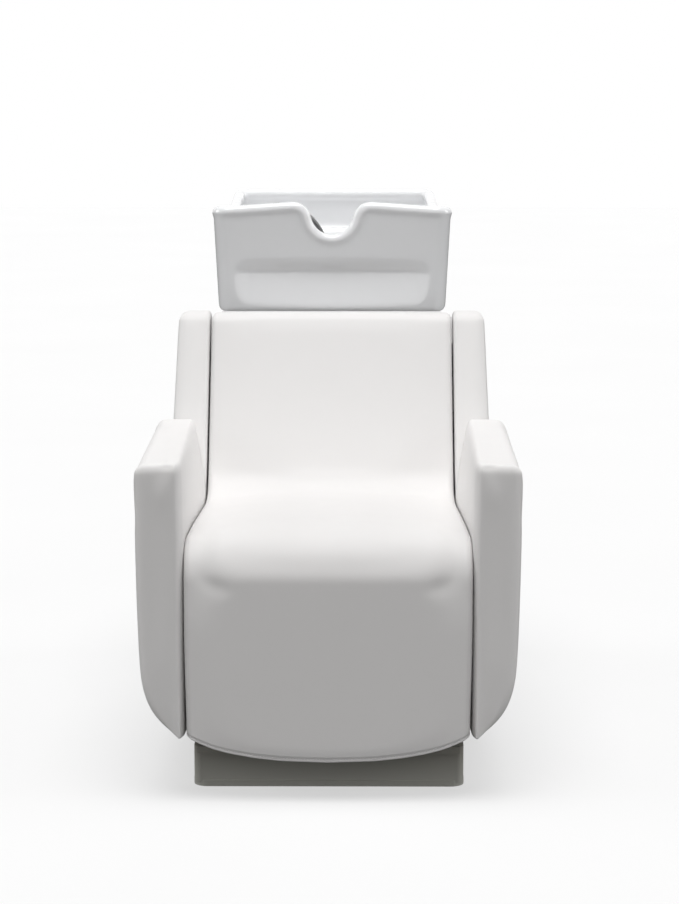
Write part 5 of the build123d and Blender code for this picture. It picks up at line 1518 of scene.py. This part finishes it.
@dataclass(frozen=True)
class Hose:
    """A hose along its route.

    Attributes:
        name: the piece's name.
        node: the CAD node that it stands for.
        finish: its finish.
        points: the route's points, in millimetres.
        radius: the hose's radius, in millimetres.
        skin: how its outside is made.
        pitch: from one rib to the next, in millimetres.
        relief: how deep the ribs are, in millimetres.
        rings: distance of the mesh's rings, in millimetres.
        sides: the mesh's sides.
        stiffness: how it bends; not used.
        joins: the two bodies that it runs between; not used.
        turn: the two places, in metres, between which it changes from one body to the other; not used.
    """

    name: str
    node: str
    finish: str
    points: tuple[Point, ...]
    radius: float
    skin: Skin
    pitch: float
    relief: float
    rings: float
    sides: int
    stiffness: str
    joins: tuple[str, str]
    turn: tuple[Point, Point]

    FINENESS = 24
    ORDER = 3

    def line(self) -> list[Vector]:
        """Returns the smooth line through the route, in metres.

        Returns:
            The line's samples.
        """
        curve = bpy.data.curves.new(self.name + "_line", "CURVE")
        curve.dimensions = "3D"
        curve.resolution_u = self.FINENESS
        spline = curve.splines.new("NURBS")
        spline.points.add(len(self.points) - 1)
        for point, place in zip(spline.points, self.points):
            point.co = (*(value * MM for value in place), 1.0)
        spline.order_u = self.ORDER
        spline.use_endpoint_u = True
        holder = bpy.data.objects.new(self.name + "_line", curve)
        bpy.context.scene.collection.objects.link(holder)
        mesh = bpy.data.meshes.new_from_object(holder)
        places = [vertex.co.copy() for vertex in mesh.vertices]
        bpy.data.objects.remove(holder)
        bpy.data.curves.remove(curve)
        bpy.data.meshes.remove(mesh)
        return places

    def evened(self, places: list[Vector]) -> tuple[list[Vector], float]:
        """Spreads the line's samples evenly.

        Args:
            places: the line's samples.

        Returns:
            The even samples and the line's length.
        """
        spans = [(b - a).length for a, b in zip(places, places[1:])]
        length = sum(spans)
        count = round(length / (self.rings * MM))
        even, index, passed = [], 0, 0.0
        for step in range(count + 1):
            target = length * step / count
            while index < len(spans) - 1 and passed + spans[index] < target:
                passed += spans[index]
                index += 1
            share = min(1.0, (target - passed) / spans[index])
            even.append(places[index].lerp(places[index + 1], share))
        return even, length

    def profile(self, run: float, angle: float) -> float:
        """Returns the hose's radius at a run along it and an angle round it, in metres.

        Args:
            run: metres from its start.
            angle: in radians.

        Returns:
            The radius.
        """
        if self.skin is Skin.SMOOTH:
            return self.radius * MM
        phase = math.tau * run / (self.pitch * MM)
        if self.skin is Skin.SPIRAL:
            phase -= angle
        return (self.radius - self.relief * (0.5 - 0.5 * math.cos(phase))) * MM

    def build(self, palette: Palette) -> None:
        """Args:
            palette: the finishes.
        """
        places, length = self.evened(self.line())
        points: list[Vector] = []
        normal = None
        for index, place in enumerate(places):
            after, before = places[min(index + 1, len(places) - 1)], places[max(index - 1, 0)]
            way = (after - before).normalized()
            if normal is None:
                normal = way.orthogonal().normalized()
            normal = (normal - way * normal.dot(way)).normalized()
            side = way.cross(normal)
            run = length * index / (len(places) - 1)
            for step in range(self.sides):
                angle = math.tau * step / self.sides
                reach = self.profile(run, angle)
                points.append(place + reach * (math.cos(angle) * normal + math.sin(angle) * side))
        faces = []
        for ring in range(len(places) - 1):
            for step in range(self.sides):
                low, far = ring * self.sides, (step + 1) % self.sides
                faces.append((low + step, low + far, low + self.sides + far, low + self.sides + step))
        faces.append(tuple(reversed(range(self.sides))))
        faces.append(tuple(range(len(points) - self.sides, len(points))))
        mesh = new_mesh(self.name, points, faces)
        self._map(mesh, length / (len(places) - 1))
        hose = new_object(self.name, mesh)
        smooth(hose)
        hose.data.materials.append(palette[self.finish])
        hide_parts(self.node)
        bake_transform(hose)
        LOG.info("%s: %.3f m long, %d faces", self.name, length, len(faces))

    def _map(self, mesh: bpy.types.Mesh, spacing: float) -> None:
        """Gives the tube a UV map: the share round it and metres along it."""
        layer = mesh.uv_layers.new(name=COVER_MAP)
        for index, polygon in enumerate(mesh.polygons):
            ring, step = divmod(index, self.sides)
            corners = ((step, ring), (step + 1, ring), (step + 1, ring + 1), (step, ring + 1))
            for loop, corner in zip(polygon.loop_indices, corners):
                layer.data[loop].uv = (corner[0] / self.sides, corner[1] * spacing)


HOSES = (
    Hose("shower_hose_chrome", "shower_hose", "hose_chrome",
         ((-177, 303.4, 878), (-177, 303.4, 806), (-177, 310, 728), (-176.5, 320, 640), (-176.5, 262, 606),
          (-176, 204, 640), (-176, 205, 730), (-176, 216, 810), (-176, 230, 880), (-176, 230.5, 956.7),
          (-158.3, 230, 987.4), (-127.6, 230, 1005.1), (-91.5, 230, 1005), (-57.2, 230, 991.2), (-31, 230,
                                                                                                 965),
          (-14.2, 231, 932), (-4, 236, 893), (4, 264, 865), (16, 305, 855), (34, 352, 854), (54, 404, 858),
          (66, 463, 871), (98, 496, 896), (143, 497, 942), (177, 461, 958), (177, 413, 958)),
         5.0, Skin.SPIRAL, 3.2, 0.7, 0.8, 12, "limp", ("basin_unit", "hand_shower"),
         ((0.066, 0.463, 0.871), (0.177, 0.430, 0.958))),
    Hose("hot_supply_braid", "hot_supply_hose", "braided_steel",
         ((-50, 455, 257), (-50, 455, 350), (-80, 440, 450), (-125, 405, 560), (-170, 365, 680),
          (-184.5, 316, 800),
          (-184.5, 316, 878)),
         6.0, Skin.SMOOTH, 6.0, 0.0, 5.0, 20, "medium", ("base", "basin_unit"),
         ((-0.05, 0.455, 0.30), (-0.1845, 0.316, 0.85))),
    Hose("cold_supply_braid", "cold_supply_hose", "braided_steel",
         ((50, 455, 257), (50, 455, 350), (30, 458, 450), (-25, 458, 545), (-95, 440, 640), (-148, 390, 730),
          (-169.5, 316, 800), (-169.5, 316, 878)),
         6.0, Skin.SMOOTH, 6.0, 0.0, 5.0, 20, "medium", ("base", "basin_unit"),
         ((0.05, 0.455, 0.30), (-0.1695, 0.316, 0.85))),
    Hose("waste_hose_ribbed", "waste_hose", "grey_pipe",
         ((0, 407, 760), (0, 407, 650), (-60, 407, 520), (-60, 407, 380), (0, 407, 250), (0, 407, 130)),
         17.0, Skin.RIBBED, 7.0, 2.2, 1.4, 28, "stiff", ("base", "basin_unit"),
         ((0, 0.407, 0.15), (0, 0.407, 0.74))),
)


# Studio

@dataclass(frozen=True)
class Lamp:
    """A soft lamp far away.

    Attributes:
        name: the lamp's name.
        energy: its strength.
        spread: its width in the sky, in degrees.
        tilt: its tilt from straight above, towards the front and towards the left, in degrees.
    """

    name: str
    energy: float
    spread: float
    tilt: Pair

    def hang(self) -> None:
        """Puts the lamp into the scene."""
        light = bpy.data.lights.new(self.name, "SUN")
        light.energy = self.energy
        light.angle = math.radians(self.spread)
        lamp = bpy.data.objects.new(self.name, light)
        lamp.rotation_euler = (math.radians(self.tilt[0]), math.radians(self.tilt[1]), 0)
        bpy.context.scene.collection.objects.link(lamp)


@dataclass
class Studio:
    """The pale floor, the soft light and the camera at the photograph's place.

    Attributes:
        eye: the camera's place.
        pitch: how far it looks down, in degrees.
        yaw: how far it looks to the left, in degrees.
        focus_px: the focal length in pixels of the photograph.
        sky: the world's strength on the object.
        lamps: the soft lamps.
        floor_seen: the floor's colour as the camera sees it.
        floor_bounce: the floor's colour for light that bounces off it.
        floor_glow: light that the floor adds for the camera.
        floor_size: the floor's width.
        floor_cloud: the noise scale of the floor's faint clouds.
        floor_step: how much darker the clouds are.
        sensor: the camera sensor's height, in millimetres.
        sight: how far the camera sees, in metres.
    """

    eye: Point = (0.05, -5.02, 1.355)
    pitch: float = 9.34
    yaw: float = 0.39
    focus_px: float = 2554.0
    sky: float = 0.25
    lamps: tuple[Lamp, ...] = (
        Lamp("overhead", 2.5, 45.0, (12.0, 0.0)), Lamp("front", 0.42, 60.0, (80.0, 0.0)),
        Lamp("left_side", 0.7, 30.0, (0.0, -70.0)), Lamp("right_side", 0.7, 30.0, (0.0, 70.0)))
    floor_seen: float = 0.34
    floor_bounce: float = 0.12
    floor_glow: float = 0.56
    floor_size: float = 30.0
    floor_cloud: float = 1.2
    floor_step: float = 0.01
    sensor: float = 36.0
    sight: float = 100.0

    def build(self) -> None:
        """Sets up the whole studio."""
        self._floor()
        self._world()
        for lamp in self.lamps:
            lamp.hang()
        self._camera()
        bpy.context.scene.view_settings.view_transform = "Standard"

    @staticmethod
    def _background_rays(w: Wiring) -> bpy.types.NodeSocket:
        """Returns 1 where the camera, a reflection or a transmission sees the surroundings.

        Args:
            w: the world's wiring.

        Returns:
            The mask's socket.
        """
        rays = w.add("ShaderNodeLightPath")
        seen = w.math("MAXIMUM", rays.outputs["Is Camera Ray"], rays.outputs["Is Glossy Ray"])
        return w.math("MAXIMUM", seen, rays.outputs["Is Transmission Ray"])

    def _floor(self) -> None:
        """Makes the floor, which keeps the object's shadow."""
        half = self.floor_size / 2
        corners = [(-half, -half, 0), (half, -half, 0), (half, half, 0), (-half, half, 0)]
        floor = new_object("studio_floor", new_mesh("studio_floor", corners, [(0, 1, 2, 3)]))
        material = bpy.data.materials.new("studio_floor")
        w = Wiring.cleared(material)
        seen = w.add("ShaderNodeLightPath").outputs["Is Camera Ray"]
        cloud = w.noise(w.add("ShaderNodeTexCoord").outputs["Object"], self.floor_cloud, 2.0)
        shade = w.span(cloud, (0.3, 0.7), (self.floor_seen - self.floor_step, self.floor_seen))
        tone = w.add("ShaderNodeCombineColor", {"Red": shade, "Green": shade, "Blue": shade}).outputs["Color"]
        paint = w.add("ShaderNodeBsdfPrincipled", {
            "Base Color": w.blend_colours(seen, grey(self.floor_bounce), tone), "Roughness": 0.9,
            "Specular IOR Level": 0.1, "Emission Color": WHITE,
            "Emission Strength": w.math("MULTIPLY", seen, self.floor_glow)})
        w.add("ShaderNodeOutputMaterial", {"Surface": paint.outputs[0]})
        floor.data.materials.append(material)

    def _world(self) -> None:
        """Lights the object softly, and shows white behind it."""
        world = bpy.data.worlds.new("studio")
        w = Wiring.cleared(world)
        strength = w.span(self._background_rays(w), (0, 1), (self.sky, 1.0))
        sky = w.add("ShaderNodeBackground", {"Color": WHITE, "Strength": strength})
        w.add("ShaderNodeOutputWorld", {"Surface": sky.outputs[0]})
        bpy.context.scene.world = world

    def _camera(self) -> None:
        """Places the camera of the photograph."""
        data = bpy.data.cameras.new("camera")
        data.sensor_fit = "VERTICAL"
        data.sensor_height = self.sensor
        data.lens = self.focus_px / PHOTO_HEIGHT * data.sensor_height
        data.clip_end = self.sight
        camera = bpy.data.objects.new("camera", data)
        camera.location = self.eye
        camera.rotation_euler = (math.radians(90 - self.pitch), 0, math.radians(self.yaw))
        bpy.context.scene.collection.objects.link(camera)
        bpy.context.scene.camera = camera


def main() -> None:
    """Builds the studio and every piece."""
    logging.basicConfig(level=logging.INFO, format="%(message)s")
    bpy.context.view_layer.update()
    Studio().build()
    palette = Palette()
    palette.build()
    for hose in HOSES:
        hose.build(palette)
    stitches = StitchTree(palette["stitch_thread"])
    Ribbon().build(palette, stitches)
    for side in Side:
        ArmSlab(side).build(palette)
        BackWing(side).build(palette)
    Basin().build(palette)
    RecessStrip().build(palette)


if __name__ == "__main__":
    main()
